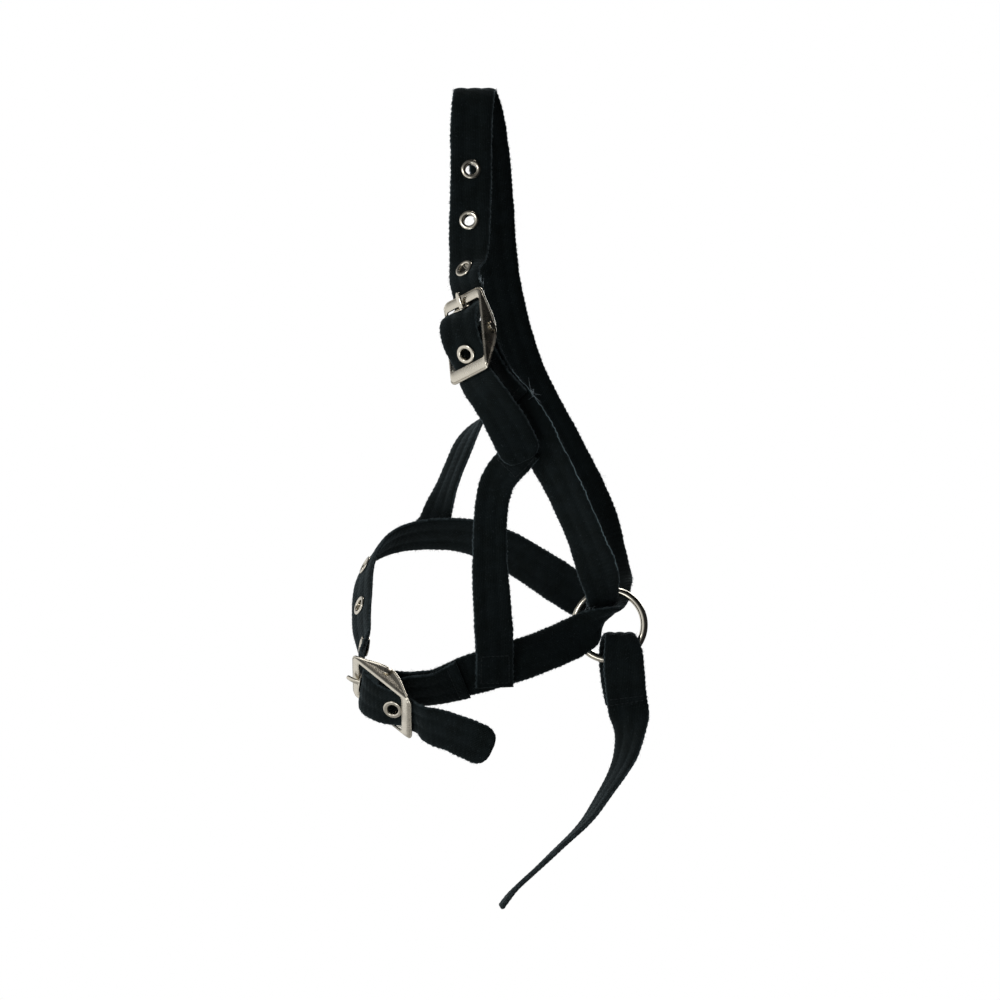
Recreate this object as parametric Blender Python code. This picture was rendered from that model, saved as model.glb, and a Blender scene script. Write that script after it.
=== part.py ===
"""Head halter for a dog: two crossed webbing straps, cheek straps, two keeper buckles, a chin ring and a lead.

Units are metres in the scene and millimetres in the tables below.  +Z is up, the muzzle points to -X,
the wearer's left side is at -Y.  The origin is the underside of the crown, where the halter hangs.
"""
import math

import bmesh
import bpy
import numpy as np
from mathutils import Matrix, Vector

MM = 0.001

# ---------------------------------------------------------------- driving sizes, mm
STRAP_WIDTH = 20.0
STRAP_THICK = 2.5
STRAP_CHAMFER = 0.75
TIP_ROUND = 8.0
EYELET_PITCH = 25.0

EYELET_OUTER_R = 4.7
EYELET_BARREL_R = 3.2
EYELET_HOLE_R = 2.65
EYELET_FLANGE = 0.6
EYELET_CLEAR = 0.3

FRAME_HALF_W = 12.6
FRAME_OPEN_HALF_W = 10.9
FRAME_FRONT = 20.0
FRAME_OPEN_FRONT = 15.0
FRAME_BACK = -22.0
FRAME_OPEN_BACK = -16.2
FRAME_SHEET = 0.9
FRAME_FRONT_TOP = 4.0
FRAME_BACK_TOP = 7.3
FRAME_CORNER_R = 3.2

BAR_R = 1.6
BAR_HALF_L = 13.0
BAR_HOLE_R = 1.95
HUB_INNER_R = 1.9
HUB_OUTER_R = 3.1
TONGUE_WIDTH = 2.8
TONGUE_THICK = 1.6
TONGUE_REACH = 22.0
SLOT_HALF_W = 2.5

RING_MEAN_R = 16.5
RING_WIRE_R = 1.75
RING_CENTRE = (64.0, 0.0, -253.0)
LEAD_PIVOT = (68.5, 0.0, -265.5)

# ---------------------------------------------------------------- finishes
WEBBING_COLOR = (0.010, 0.015, 0.017, 1.0)
NICKEL_COLOR = (0.56, 0.53, 0.47, 1.0)


class Seat:
    """Local axes of a buckle: w across the strap, l towards the front bar, n out of the face."""

    def __init__(self, pivot, across, along):
        self.pivot = Vector(pivot)
        self.along = Vector(along).normalized()
        across = Vector(across)
        self.across = (across - across.dot(self.along) * self.along).normalized()
        self.out = self.across.cross(self.along).normalized()

    def point(self, l, n, w=0.0):
        return self.pivot + self.across * w + self.along * l + self.out * n

    def matrix(self):
        rot = Matrix((self.across, self.along, self.out)).transposed().to_4x4()
        return Matrix.Translation(self.pivot * MM) @ rot


NECK_SEAT = Seat((-0.8, -42.0, -116.0), (0.70, -0.62, 0.34), (-0.14, 0.36, 0.92))
NOSE_SEAT = Seat((-41.2, -36.0, -284.0), (-0.01, -0.655, 0.755), (-0.70, 0.54, 0.465))
NECK_CHAPE_PITCH = math.radians(30.0)
NOSE_CHAPE_PITCH = math.radians(52.0)

# Billet path through a buckle, as (l, n, lean in degrees): behind the front bar, over the pivot, under the keeper.
BILLET_PATH = [(30.0, -0.4, 0.0), (24.0, -1.0, 0.0), (18.4, -1.3, 1.0), (14.4, 0.3, 3.0), (11.7, 4.0, 6.0),
               (9.2, 7.2, 11.0), (5.4, 9.1, 14.0), (0.5, 9.5, 15.0), (-4.8, 8.7, 14.0), (-9.0, 6.8, 10.0),
               (-12.6, 4.8, 5.0), (-16.4, 3.7, 1.0), (-20.4, 3.4, 0.0), (-25.0, 3.0, 0.0)]
EYELET_AT = 4
NOSE_BILLET_FROM = 2
NECK_BILLET_TO = -1

# Chape path round the pivot bar, as (u, v): u runs away from the bar, v is the outer face.
CHAPE_PATH = [(20.0, 1.5), (16.0, 1.5), (12.0, 1.55), (7.0, 2.3), (2.6, 3.35), (0.0, 3.55), (-2.6, 2.5),
              (-3.6, 0.0), (-2.6, -2.5), (0.0, -3.55), (2.6, -3.35), (7.0, -2.3), (12.0, -1.55),
              (16.0, -1.5), (20.0, -1.5)]


def chape_rows(seat, pitch):
    """Route rows of a chape that leaves the bar pitched below the buckle's plane."""
    away = -seat.along * math.cos(pitch) - seat.out * math.sin(pitch)
    face = -seat.along * math.sin(pitch) + seat.out * math.cos(pitch)
    return [tuple(seat.pivot + away * u + face * v) + tuple(seat.across) for u, v in CHAPE_PATH]


# ---------------------------------------------------------------- strap routes, mm: x, y, z, width direction
BILLET_END_NECK = [
    (4.6, -56.6, -142.2, 0.76, -0.48, 0.44),
    (10.2, -57.0, -150.4, 0.80, -0.33, 0.50),
    (15.0, -56.2, -158.4, 0.84, -0.20, 0.52),
    (19.4, -54.4, -166.8, 0.85, -0.10, 0.52),
    (23.6, -52.0, -175.2, 0.86, -0.05, 0.50),
]
NECK_NEAR_UP = [
    (-3.6, -26.6, -82.0, 0.80, -0.45, 0.15),
    (-2.6, -21.8, -65.0, 0.95, -0.20, 0.04),
    (-2.0, -17.6, -47.0, 1.0, -0.05, 0.0),
    (-1.8, -13.2, -24.0, 1.0, 0.0, 0.0),
    (-1.5, -10.6, -10.0, 1.0, 0.0, 0.0),
    (-0.9, -8.6, -3.4, 1.0, 0.0, 0.0),
]
CROWN = [
    (-0.5, -6.2, 0.1, 1.0, 0.0, 0.0),
    (-0.2, -3.2, 1.22, 1.0, 0.0, 0.0),
    (0.0, 0.0, 1.25, 1.0, 0.0, 0.0),
    (0.2, 3.2, 1.22, 1.0, 0.0, 0.0),
    (0.5, 6.2, 0.1, 1.0, 0.0, 0.0),
]
NECK_FAR_DOWN = [
    (1.8, 8.6, -3.4, 1.0, 0.0, 0.0),
    (4.2, 11.5, -12.0, 1.0, 0.05, 0.0),
    (7.0, 17.5, -33.0, 1.0, 0.10, 0.03),
    (9.3, 25.5, -61.0, 1.0, 0.15, 0.05),
    (12.0, 33.0, -89.0, 0.97, 0.2, 0.1),
    (17.5, 39.0, -113.0, 0.95, 0.2, 0.2),
    (26.0, 42.0, -137.0, 0.9, 0.2, 0.35),
    (37.0, 42.0, -158.5, 0.88, 0.15, 0.45),
    (48.5, 39.0, -180.0, 0.88, 0.15, 0.42),
    (58.0, 33.0, -201.0, 0.9, 0.25, 0.35),
    (63.0, 25.5, -218.0, 0.86, 0.45, 0.25),
    (65.6, 18.5, -231.0, 0.82, 0.40, 0.35),
    (66.6, 12.0, -238.0, 0.80, 0.12, 0.55, 17.0),
    (66.6, 6.0, -244.0, 0.80, 0.0, 0.60, 15.4),
]
RING_PASS_B = [
    (64.4, 0.0, -247.8, 0.80, 0.0, 0.60, 15.0),
    (60.2, -5.6, -250.8, 0.50, -0.22, 0.84, 17.0),
    (53.4, -9.2, -255.4, -0.02, -0.15, 0.98, 19.5),
]
NOSE_NEAR = [
    (44.0, -14.0, -260.4, -0.34, -0.05, 0.94),
    (33.0, -20.5, -265.0, -0.33, -0.08, 0.94),
    (20.0, -27.0, -269.6, -0.30, -0.12, 0.95),
    (7.5, -31.5, -273.6, -0.26, -0.18, 0.95),
    (-3.0, -33.6, -276.6, -0.22, -0.24, 0.94),
]
CHEEK_NEAR = [
    (25.0, -45.0, -168.5, 0.80, -0.05, 0.55, 16.0),
    (21.5, -45.4, -172.0, 0.82, -0.05, 0.55, 16.5),
    (17.6, -45.8, -176.2, 0.86, 0.0, 0.50, 17.0),
    (12.4, -38.0, -182.2, 0.90, -0.24, 0.36, 17.0),
    (9.0, -37.2, -190.5, 0.97, -0.12, 0.20, 16.2),
    (7.5, -36.8, -201.0, 1.0, 0.0, 0.05, 16.0),
    (7.0, -36.6, -213.0, 1.0, 0.0, 0.0, 16.4),
    (7.3, -36.4, -228.0, 1.0, 0.05, 0.0, 17.5),
    (8.3, -36.2, -244.0, 1.0, 0.12, 0.0, 18.3),
    (9.0, -35.8, -257.0, 0.93, 0.22, 0.0, 18.8),
    (9.3, -35.6, -266.0, 0.83, 0.29, 0.0, 19.0),
    (9.4, -35.0, -273.0, 0.81, 0.28, 0.0, 19.0),
    (9.4, -34.0, -282.4, 0.81, 0.27, 0.0, 19.0),
]
NECK_NEAR_DOWN = [
    (25.0, -43.4, -156.0, 0.78, -0.32, 0.50),
    (32.4, -42.0, -170.0, 0.76, -0.38, 0.48),
    (40.2, -39.0, -184.5, 0.73, -0.46, 0.42),
    (47.6, -33.0, -200.0, 0.72, -0.50, 0.36),
    (53.8, -25.0, -214.5, 0.72, -0.50, 0.34),
    (58.4, -15.6, -228.0, 0.74, -0.40, 0.42),
    (60.4, -8.4, -237.0, 0.78, -0.15, 0.52, 17.0),
    (60.8, -3.7, -243.2, 0.80, 0.0, 0.60, 15.6),
]
RING_PASS_A = [
    (60.0, 0.0, -246.0, 0.80, 0.0, 0.60, 15.0),
    (57.2, 3.8, -245.0, 0.78, 0.0, 0.62, 16.0),
    (52.6, 6.2, -241.6, 0.66, 0.02, 0.74, 18.5),
]
NOSE_FAR = [
    (44.0, 11.0, -235.6, 0.52, 0.02, 0.85),
    (33.0, 19.0, -228.6, 0.50, -0.10, 0.84),
    (18.0, 27.5, -219.2, 0.42, -0.28, 0.84),
    (3.0, 33.0, -212.6, 0.28, -0.48, 0.80),
    (-12.0, 35.5, -210.0, 0.16, -0.60, 0.76),
    (-26.0, 34.0, -210.4, 0.18, -0.64, 0.72),
    (-40.0, 29.0, -213.8, 0.32, -0.64, 0.66),
    (-49.4, 21.0, -221.8, 0.44, -0.62, 0.62),
    (-53.2, 12.0, -232.2, 0.46, -0.62, 0.60),
    (-53.8, 3.0, -243.0, 0.46, -0.62, 0.60),
    (-53.6, -6.0, -253.0, 0.38, -0.64, 0.64),
    (-52.6, -15.0, -263.6, 0.18, -0.66, 0.72),
]
BILLET_END_NOSE = [
    (-22.5, -52.4, -299.0, 0.16, -0.55, 0.80),
    (-13.0, -55.6, -302.3, 0.28, -0.42, 0.86),
    (-4.0, -57.6, -305.8, 0.36, -0.30, 0.88),
    (3.0, -58.6, -308.9, 0.38, -0.25, 0.90),
    (8.2, -59.2, -311.4, 0.40, -0.22, 0.90),
]
CHEEK_FAR = [
    (28.0, 45.5, -135.5, 0.70, 0.2, 0.65, 15.0),
    (23.5, 45.5, -138.8, 0.66, 0.1, 0.72, 15.5),
    (18.0, 45.5, -143.0, 0.60, 0.0, 0.80, 16.0),
    (9.5, 42.8, -149.5, 0.60, -0.15, 0.75, 16.0),
    (1.5, 41.6, -157.0, 0.62, -0.45, 0.60, 17.0),
    (-4.2, 40.8, -165.0, 0.62, -0.65, 0.40, 18.0),
    (-8.6, 40.4, -174.5, 0.60, -0.74, 0.25, 18.0),
    (-12.4, 40.2, -184.0, 0.62, -0.74, 0.25, 18.0),
    (-16.0, 40.0, -193.5, 0.72, -0.60, 0.28, 17.5),
    (-18.6, 39.8, -201.0, 0.84, -0.35, 0.32, 17.0),
    (-20.6, 38.5, -208.0, 0.92, -0.12, 0.30, 17.0),
    (-21.8, 38.0, -213.5, 0.93, -0.08, 0.28, 17.0),
]
# Lead: the back layer of the sewn eye, the fold over the ring wire, then the front layer and the free end.
LEAD = [
    (71.6, 1.7, -289.5, 1.0, 0.0, 0.0, 19.4),
    (70.2, 3.3, -283.0, 1.0, 0.0, 0.0, 19.4),
    (68.6, 5.6, -273.5, 1.0, 0.0, 0.0, 19.0),
    (67.8, 6.0, -265.5, 1.0, 0.0, 0.0, 18.2),
    (68.1, 4.0, -259.4, 1.0, 0.0, 0.0, 15.8),
    (68.9, 0.0, -257.6, 1.0, 0.0, 0.0, 14.4),
    (69.5, -5.0, -259.6, 1.0, 0.0, 0.0, 15.8),
    (70.4, -7.0, -265.5, 1.0, 0.0, 0.0, 18.6),
    (70.9, -6.4, -273.5, 1.0, 0.0, 0.0, 19.4),
    (71.6, -3.3, -283.0, 1.0, 0.0, 0.0, 19.4),
    (72.4, -1.8, -290.0, 1.0, 0.0, 0.0, 19.6),
    (73.3, -1.4, -295.5, 0.97, -0.22, 0.0, 20.0),
    (73.6, -0.9, -302.0, 0.80, -0.60, 0.0, 20.0),
    (72.4, -0.3, -312.0, 0.62, -0.78, 0.06, 20.0),
    (68.0, 0.2, -323.0, 0.50, -0.86, 0.16, 20.0),
    (61.4, 0.4, -334.0, 0.42, -0.90, 0.20, 20.0),
    (52.8, 0.5, -346.5, 0.36, -0.92, 0.24, 20.0),
    (41.4, 0.5, -358.0, 0.33, -0.93, 0.28, 20.0),
    (27.0, 0.5, -371.6, 0.30, -0.94, 0.30, 20.0),
    (17.6, 0.4, -380.6, 0.28, -0.95, 0.30, 20.0),
    (12.2, 0.4, -387.6, 0.28, -0.95, 0.30, 20.0),
]


# ---------------------------------------------------------------- helpers
def clear_scene():
    for old in list(bpy.data.objects):
        bpy.data.objects.remove(old, do_unlink=True)


def make_material(name, color, metallic, roughness):
    material = bpy.data.materials.new(name)
    material.use_nodes = True
    shader = material.node_tree.nodes["Principled BSDF"]
    shader.inputs["Base Color"].default_value = color
    shader.inputs["Metallic"].default_value = metallic
    shader.inputs["Roughness"].default_value = roughness
    material.diffuse_color = color
    return material


def make_object(name, verts, faces, material, matrix=None):
    """Object from millimetre vertices; with a matrix they are local to it."""
    mesh = bpy.data.meshes.new(name)
    bm = bmesh.new()
    made = [bm.verts.new(Vector(v) * MM) for v in verts]
    for face in faces:
        bm.faces.new([made[i] for i in face])
    bmesh.ops.recalc_face_normals(bm, faces=bm.faces)
    bm.to_mesh(mesh)
    bm.free()
    mesh.materials.append(material)
    obj = bpy.data.objects.new(name, mesh)
    bpy.context.scene.collection.objects.link(obj)
    if matrix is not None:
        obj.matrix_world = matrix
    return obj


def set_origin(obj, origin_mm):
    """Move the object's origin to a point without moving its surface."""
    shift = Vector(origin_mm) * MM
    obj.data.transform(Matrix.Translation(-shift))
    obj.location = shift


def natural_spline(knots, values):
    """Second derivatives of the natural cubic spline through the values."""
    count = len(knots)
    step = np.diff(knots)
    lhs = np.eye(count)
    rhs = np.zeros(values.shape)
    for i in range(1, count - 1):
        lhs[i, i - 1] = step[i - 1]
        lhs[i, i] = 2.0 * (step[i - 1] + step[i])
        lhs[i, i + 1] = step[i]
        rhs[i] = 6.0 * ((values[i + 1] - values[i]) / step[i] - (values[i] - values[i - 1]) / step[i - 1])
    return np.linalg.solve(lhs, rhs)


def spline_at(knots, values, second, t):
    i = int(np.clip(np.searchsorted(knots, t) - 1, 0, len(knots) - 2))
    h = knots[i + 1] - knots[i]
    a = (knots[i + 1] - t) / h
    b = (t - knots[i]) / h
    curve = (a ** 3 - a) * second[i] + (b ** 3 - b) * second[i + 1]
    return a * values[i] + b * values[i + 1] + curve * h * h / 6.0


class Route:
    """A strap's centre line with its width direction, sampled finely along its length."""

    def __init__(self, rows, fine=0.5):
        rows = np.array([list(r) + [STRAP_WIDTH] * (7 - len(r)) for r in rows], dtype=float)
        chord = np.linalg.norm(np.diff(rows[:, :3], axis=0), axis=1)
        knots = np.concatenate([[0.0], np.cumsum(chord)])
        second = natural_spline(knots, rows)
        count = int(knots[-1] / fine)
        data = np.array([spline_at(knots, rows, second, t) for t in np.linspace(0.0, knots[-1], count)])
        self.pos = data[:, :3]
        tangent = np.gradient(self.pos, axis=0)
        self.tangent = tangent / np.linalg.norm(tangent, axis=1)[:, None]
        across = data[:, 3:6]
        across = across - np.sum(across * self.tangent, axis=1)[:, None] * self.tangent
        self.across = across / np.linalg.norm(across, axis=1)[:, None]
        self.width = data[:, 6]
        gaps = np.linalg.norm(np.diff(self.pos, axis=0), axis=1)
        self.length = np.concatenate([[0.0], np.cumsum(gaps)])

    def flatten_top(self, inside, outside):
        """Level the crown over |y| < inside, drop the samples up to outside, and return its first and last."""
        depth = np.abs(self.pos[:, 1])
        top = self.pos[:, 2] > -5.0
        level = top & (depth < inside)
        self.pos[level, 2] = STRAP_THICK / 2.0
        self.tangent[level] = (0.0, 1.0, 0.0)
        self.across[level] = (1.0, 0.0, 0.0)
        keep = ~(top & (depth >= inside) & (depth < outside))
        for name in ("pos", "tangent", "across", "width", "length"):
            setattr(self, name, getattr(self, name)[keep])
        ends = np.nonzero(level[keep])[0]
        return int(ends[0]), int(ends[-1])

    def nearest(self, point):
        return int(np.argmin(np.linalg.norm(self.pos - np.array(point), axis=1)))

    def frame(self, s):
        """Placement matrix at length s: x across the strap, y along it, z out of its face."""
        i = int(np.argmin(np.abs(self.length - s)))
        x = Vector(self.across[i])
        y = Vector(self.tangent[i])
        z = x.cross(y)
        rot = Matrix((x, y, z)).transposed().to_4x4()
        return Matrix.Translation(Vector(self.pos[i]) * MM) @ rot

    def picks(self, turn, reach, exact):
        """Sample numbers to keep: as far apart as the bend and the twist allow."""
        keep = [0]
        for i in range(1, len(self.length)):
            j = keep[-1]
            bend = math.degrees(math.acos(float(np.clip(self.tangent[i] @ self.tangent[j], -1, 1))))
            twist = math.degrees(math.acos(float(np.clip(self.across[i] @ self.across[j], -1, 1))))
            far = self.length[i] - self.length[j]
            if bend > turn or twist > turn or far > reach or i in exact:
                keep.append(i)
        if keep[-1] != len(self.length) - 1:
            keep.append(len(self.length) - 1)
        return keep


def seated_rows(rows, first, last):
    """Rows whose ends lie against the straps they are sewn to; first and last are (host, count, gap)."""
    done = [list(row) for row in rows]
    marks = [(k, first) for k in range(first[1])]
    marks += [(len(rows) - 1 - k, last) for k in range(last[1])]
    for k, (host, _, gap) in marks:
        point = Vector(rows[k][:3])
        across = Vector(rows[k][3:6])
        i = host.nearest(point)
        face = Vector(host.across[i]).cross(Vector(host.tangent[i]))
        base = Vector(host.pos[i])
        side = 1.0 if (point - base).dot(face) > 0.0 else -1.0
        flat = point - face * (point - base).dot(face)
        done[k][:3] = flat + face * side * (STRAP_THICK + gap)
        done[k][3:6] = across - face * across.dot(face)
    return done


def build_strap(name, route, material, round_start=False, round_end=False, exact=()):
    """Flat webbing swept along the route as one closed body."""
    total = route.length[-1]
    exact = set(exact)
    for s in (0.0, 0.6, 1.6, 3.2, 5.4, TIP_ROUND):
        if round_start:
            exact.add(int(np.argmin(np.abs(route.length - s))))
        if round_end:
            exact.add(int(np.argmin(np.abs(route.length - (total - s)))))
    verts = []
    rings = 0
    half_t = STRAP_THICK / 2.0
    for i in route.picks(9.5, 12.0, exact):
        half_w = route.width[i] / 2.0
        for flag, s in ((round_start, route.length[i]), (round_end, total - route.length[i])):
            if flag and s < TIP_ROUND:
                drop = (TIP_ROUND - s) / TIP_ROUND
                half_w *= 0.30 + 0.70 * math.sqrt(max(0.0, 1.0 - drop ** 2.2))
        pos = Vector(route.pos[i])
        x = Vector(route.across[i])
        z = x.cross(Vector(route.tangent[i]))
        c = STRAP_CHAMFER
        outline = [(-half_w, -half_t + c), (-half_w + c, -half_t), (half_w - c, -half_t), (half_w, -half_t + c),
                   (half_w, half_t - c), (half_w - c, half_t), (-half_w + c, half_t), (-half_w, half_t - c)]
        verts += [pos + x * a + z * b for a, b in outline]
        rings += 1
    faces = [tuple(range(8)), tuple(range((rings - 1) * 8, rings * 8))]
    for r in range(rings - 1):
        for k in range(8):
            a = r * 8 + k
            b = r * 8 + (k + 1) % 8
            faces.append((a, b, b + 8, a + 8))
    return make_object(name, verts, faces, material)


def revolve(name, profile, segments, material, matrix):
    """Closed body of revolution about local z from (radius, height) corners."""
    verts = []
    for i in range(segments):
        angle = 2.0 * math.pi * i / segments
        verts += [(r * math.cos(angle), r * math.sin(angle), h) for r, h in profile]
    count = len(profile)
    faces = []
    for i in range(segments):
        j = (i + 1) % segments
        for k in range(count):
            m = (k + 1) % count
            faces.append((i * count + k, j * count + k, j * count + m, i * count + m))
    return make_object(name, verts, faces, material, matrix)


def solid_revolve(name, profile, segments, material, matrix):
    """Closed body of revolution whose profile runs from the axis at one end to the axis at the other."""
    verts = [(0.0, 0.0, profile[0][1]), (0.0, 0.0, profile[-1][1])]
    inner = profile[1:-1]
    count = len(inner)
    for i in range(segments):
        angle = 2.0 * math.pi * i / segments
        verts += [(r * math.cos(angle), r * math.sin(angle), h) for r, h in inner]
    faces = []
    for i in range(segments):
        j = (i + 1) % segments
        a = 2 + i * count
        b = 2 + j * count
        faces.append((0, b, a))
        faces.append((1, a + count - 1, b + count - 1))
        for k in range(count - 1):
            faces.append((a + k, b + k, b + k + 1, a + k + 1))
    return make_object(name, verts, faces, material, matrix)


def cut(target, cutter):
    """Subtract the cutter from the target and remove the cutter."""
    bpy.context.view_layer.update()
    modifier = target.modifiers.new("cut", "BOOLEAN")
    modifier.operation = "DIFFERENCE"
    modifier.solver = "EXACT"
    modifier.object = cutter
    graph = bpy.context.evaluated_depsgraph_get()
    done = bpy.data.meshes.new_from_object(target.evaluated_get(graph))
    target.modifiers.clear()
    done.name = target.name
    target.data = done
    bpy.data.objects.remove(cutter, do_unlink=True)


def eyelet_cutter(matrix):
    r1 = EYELET_BARREL_R + EYELET_CLEAR
    r2 = EYELET_OUTER_R + EYELET_CLEAR + 0.15
    h1 = STRAP_THICK / 2.0 + 0.13
    profile = [(0, -5), (r2, -5), (r2, -h1), (r1, -h1), (r1, h1), (r2, h1), (r2, 5), (0, 5)]
    return solid_revolve("cutter", profile, 18, WEBBING, matrix)


def build_eyelet(name, matrix):
    h0 = STRAP_THICK / 2.0 + EYELET_CLEAR
    h1 = h0 + EYELET_FLANGE
    profile = [(EYELET_HOLE_R, -h0 - 0.35), (EYELET_HOLE_R + 0.5, -h1), (EYELET_OUTER_R - 0.5, -h1 + 0.05),
               (EYELET_OUTER_R, -h0), (EYELET_BARREL_R, -h0), (EYELET_BARREL_R, h0), (EYELET_OUTER_R, h0),
               (EYELET_OUTER_R - 0.5, h1 - 0.05), (EYELET_HOLE_R + 0.5, h1), (EYELET_HOLE_R, h0 + 0.35)]
    return revolve(name, profile, 14, NICKEL, matrix)


def rounded_rect(half_w, back, front, radius, inset):
    """Corner-rounded outline in (w, l), counter-clockwise, with matching points for every inset."""
    half_w -= inset
    back += inset
    front -= inset
    radius = max(radius - inset, 0.6)
    points = []
    corners = [(half_w - radius, front - radius, 0.0), (-half_w + radius, front - radius, 90.0),
               (-half_w + radius, back + radius, 180.0), (half_w - radius, back + radius, 270.0)]
    spans = 8
    for index, (cw, cl, start) in enumerate(corners):
        for k in range(5):
            angle = math.radians(start + 22.5 * k)
            points.append((cw + radius * math.cos(angle), cl + radius * math.sin(angle)))
        if index in (1, 3):
            ncw, ncl, nstart = corners[(index + 1) % 4]
            angle = math.radians(nstart)
            goal = (ncw + radius * math.cos(angle), ncl + radius * math.sin(angle))
            last = points[-1]
            for k in range(1, spans):
                f = k / spans
                points.append((last[0] + (goal[0] - last[0]) * f, last[1] + (goal[1] - last[1]) * f))
    return points


def frame_top(l):
    f = (l - FRAME_BACK) / (FRAME_FRONT - FRAME_BACK)
    return FRAME_BACK_TOP + (FRAME_FRONT_TOP - FRAME_BACK_TOP) * f


def flange_depth(l):
    """Depth of the side flange below the face: shallow at both ends, deepest beside the pivot bar."""
    if l > -1.0:
        f = min(1.0, (l + 1.0) / (FRAME_FRONT - 1.0))
    else:
        f = min(1.0, (-1.0 - l) / (-2.0 - FRAME_BACK))
    return 1.7 + 6.6 * (0.5 + 0.5 * math.cos(math.pi * f)) ** 0.7


def build_frame(name, seat):
    """Stamped keeper frame: a face band with a turned-down flange and a wide keeper plate at the back."""
    outer = rounded_rect(FRAME_HALF_W, FRAME_BACK, FRAME_FRONT, FRAME_CORNER_R, 0.0)
    shell = rounded_rect(FRAME_HALF_W, FRAME_BACK, FRAME_FRONT, FRAME_CORNER_R, FRAME_SHEET)
    edge = rounded_rect(FRAME_HALF_W, FRAME_BACK, FRAME_FRONT, FRAME_CORNER_R, 0.35)
    inner = rounded_rect(FRAME_OPEN_HALF_W, FRAME_OPEN_BACK, FRAME_OPEN_FRONT, 1.6, 0.0)
    verts = []
    for o, e, s, i in zip(outer, edge, shell, inner):
        top = frame_top(o[1])
        top_in = frame_top(i[1])
        low = frame_top(o[1]) - flange_depth(o[1])
        verts += [(e[0], e[1], top), (i[0], i[1], top_in), (i[0], i[1], top_in - FRAME_SHEET),
                  (s[0], s[1], top - FRAME_SHEET), (s[0], s[1], low), (o[0], o[1], low),
                  (o[0], o[1], top - 0.35)]
    count = len(outer)
    faces = []
    for a in range(count):
        b = (a + 1) % count
        for k in range(7):
            m = (k + 1) % 7
            faces.append((a * 7 + k, b * 7 + k, b * 7 + m, a * 7 + m))
    frame = make_object(name, verts, faces, NICKEL)
    across = Matrix.Rotation(math.radians(90.0), 4, "Y")
    hole = solid_revolve("cutter", [(0, -15), (BAR_HOLE_R, -15), (BAR_HOLE_R, 15), (0, 15)], 20, NICKEL, across)
    cut(frame, hole)
    frame.matrix_world = seat.matrix()
    return frame


def build_bar(name, seat):
    """Pivot bar with small upset heads outside the flanges."""
    across = seat.matrix() @ Matrix.Rotation(math.radians(90.0), 4, "Y")
    end = BAR_HALF_L + 0.55
    head = BAR_HOLE_R + 0.35
    profile = [(0, -end), (head - 0.35, -end), (head, -BAR_HALF_L - 0.2), (head, -BAR_HALF_L + 0.02),
               (BAR_R, -BAR_HALF_L + 0.02), (BAR_R, BAR_HALF_L - 0.02), (head, BAR_HALF_L - 0.02),
               (head, BAR_HALF_L + 0.2), (head - 0.35, end), (0, end)]
    return solid_revolve(name, profile, 16, NICKEL, across)


def build_tongue(name, seat):
    """Tongue: an eye round the pivot bar and an arm that passes the eyelet and lies over the front bar."""
    rest_l = FRAME_OPEN_FRONT
    rest_n = frame_top(rest_l) + 0.4 + TONGUE_THICK / 2.0
    lift = math.atan2(rest_n, rest_l)
    arm = Vector((math.cos(lift), math.sin(lift)))
    up = Vector((-arm.y, arm.x))
    half_t = TONGUE_THICK / 2.0
    half_w = TONGUE_WIDTH / 2.0
    outline = []
    steps = 14
    start = math.asin(half_t / HUB_OUTER_R)
    for k in range(steps + 1):
        angle = start + (2.0 * math.pi - 2.0 * start) * k / steps
        outline.append(HUB_OUTER_R * (arm * math.cos(angle) + up * math.sin(angle)))
    tip = TONGUE_REACH
    outline += [arm * (tip - 2.0) - up * half_t, arm * (tip - 0.7) - up * half_t * 0.55, arm * tip,
                arm * (tip - 0.7) + up * half_t * 0.85, arm * (tip - 2.0) + up * half_t]
    count = len(outline)
    verts = [(-half_w, p.x, p.y) for p in outline] + [(half_w, p.x, p.y) for p in outline]
    faces = [tuple(range(count)), tuple(range(count, 2 * count))]
    for k in range(count):
        m = (k + 1) % count
        faces.append((k, m, count + m, count + k))
    tongue = make_object(name, verts, faces, NICKEL)
    across = Matrix.Rotation(math.radians(90.0), 4, "Y")
    hole = solid_revolve("cutter", [(0, -6), (HUB_INNER_R, -6), (HUB_INNER_R, 6), (0, 6)], 20, NICKEL, across)
    cut(tongue, hole)
    tongue.matrix_world = seat.matrix()
    return tongue


def slot_cutter(seat, pitch):
    """Box that opens the fold of a chape for the tongue's eye."""
    corners = []
    for w in (-SLOT_HALF_W, SLOT_HALF_W):
        for u, v in ((-8.0, -7.0), (4.6, -7.0), (4.6, 7.0), (-8.0, 7.0)):
            l = -u * math.cos(pitch) - v * math.sin(pitch)
            n = -u * math.sin(pitch) + v * math.cos(pitch)
            corners.append((w, l, n))
    faces = [(0, 1, 2, 3), (4, 5, 6, 7), (0, 1, 5, 4), (1, 2, 6, 5), (2, 3, 7, 6), (3, 0, 4, 7)]
    return make_object("cutter", corners, faces, WEBBING, seat.matrix())


def billet_rows(seat):
    """Route rows of a billet through a buckle, leaning towards the side at +w where it bulges."""
    rows = []
    for l, n, lean in BILLET_PATH:
        angle = math.radians(lean)
        across = seat.across * math.cos(angle) - seat.out * math.sin(angle)
        rows.append(tuple(seat.point(l, n)) + tuple(across))
    return rows


# ---------------------------------------------------------------- build
clear_scene()
WEBBING = make_material("webbing", WEBBING_COLOR, 0.0, 0.85)
NICKEL = make_material("nickel", NICKEL_COLOR, 1.0, 0.28)

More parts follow.
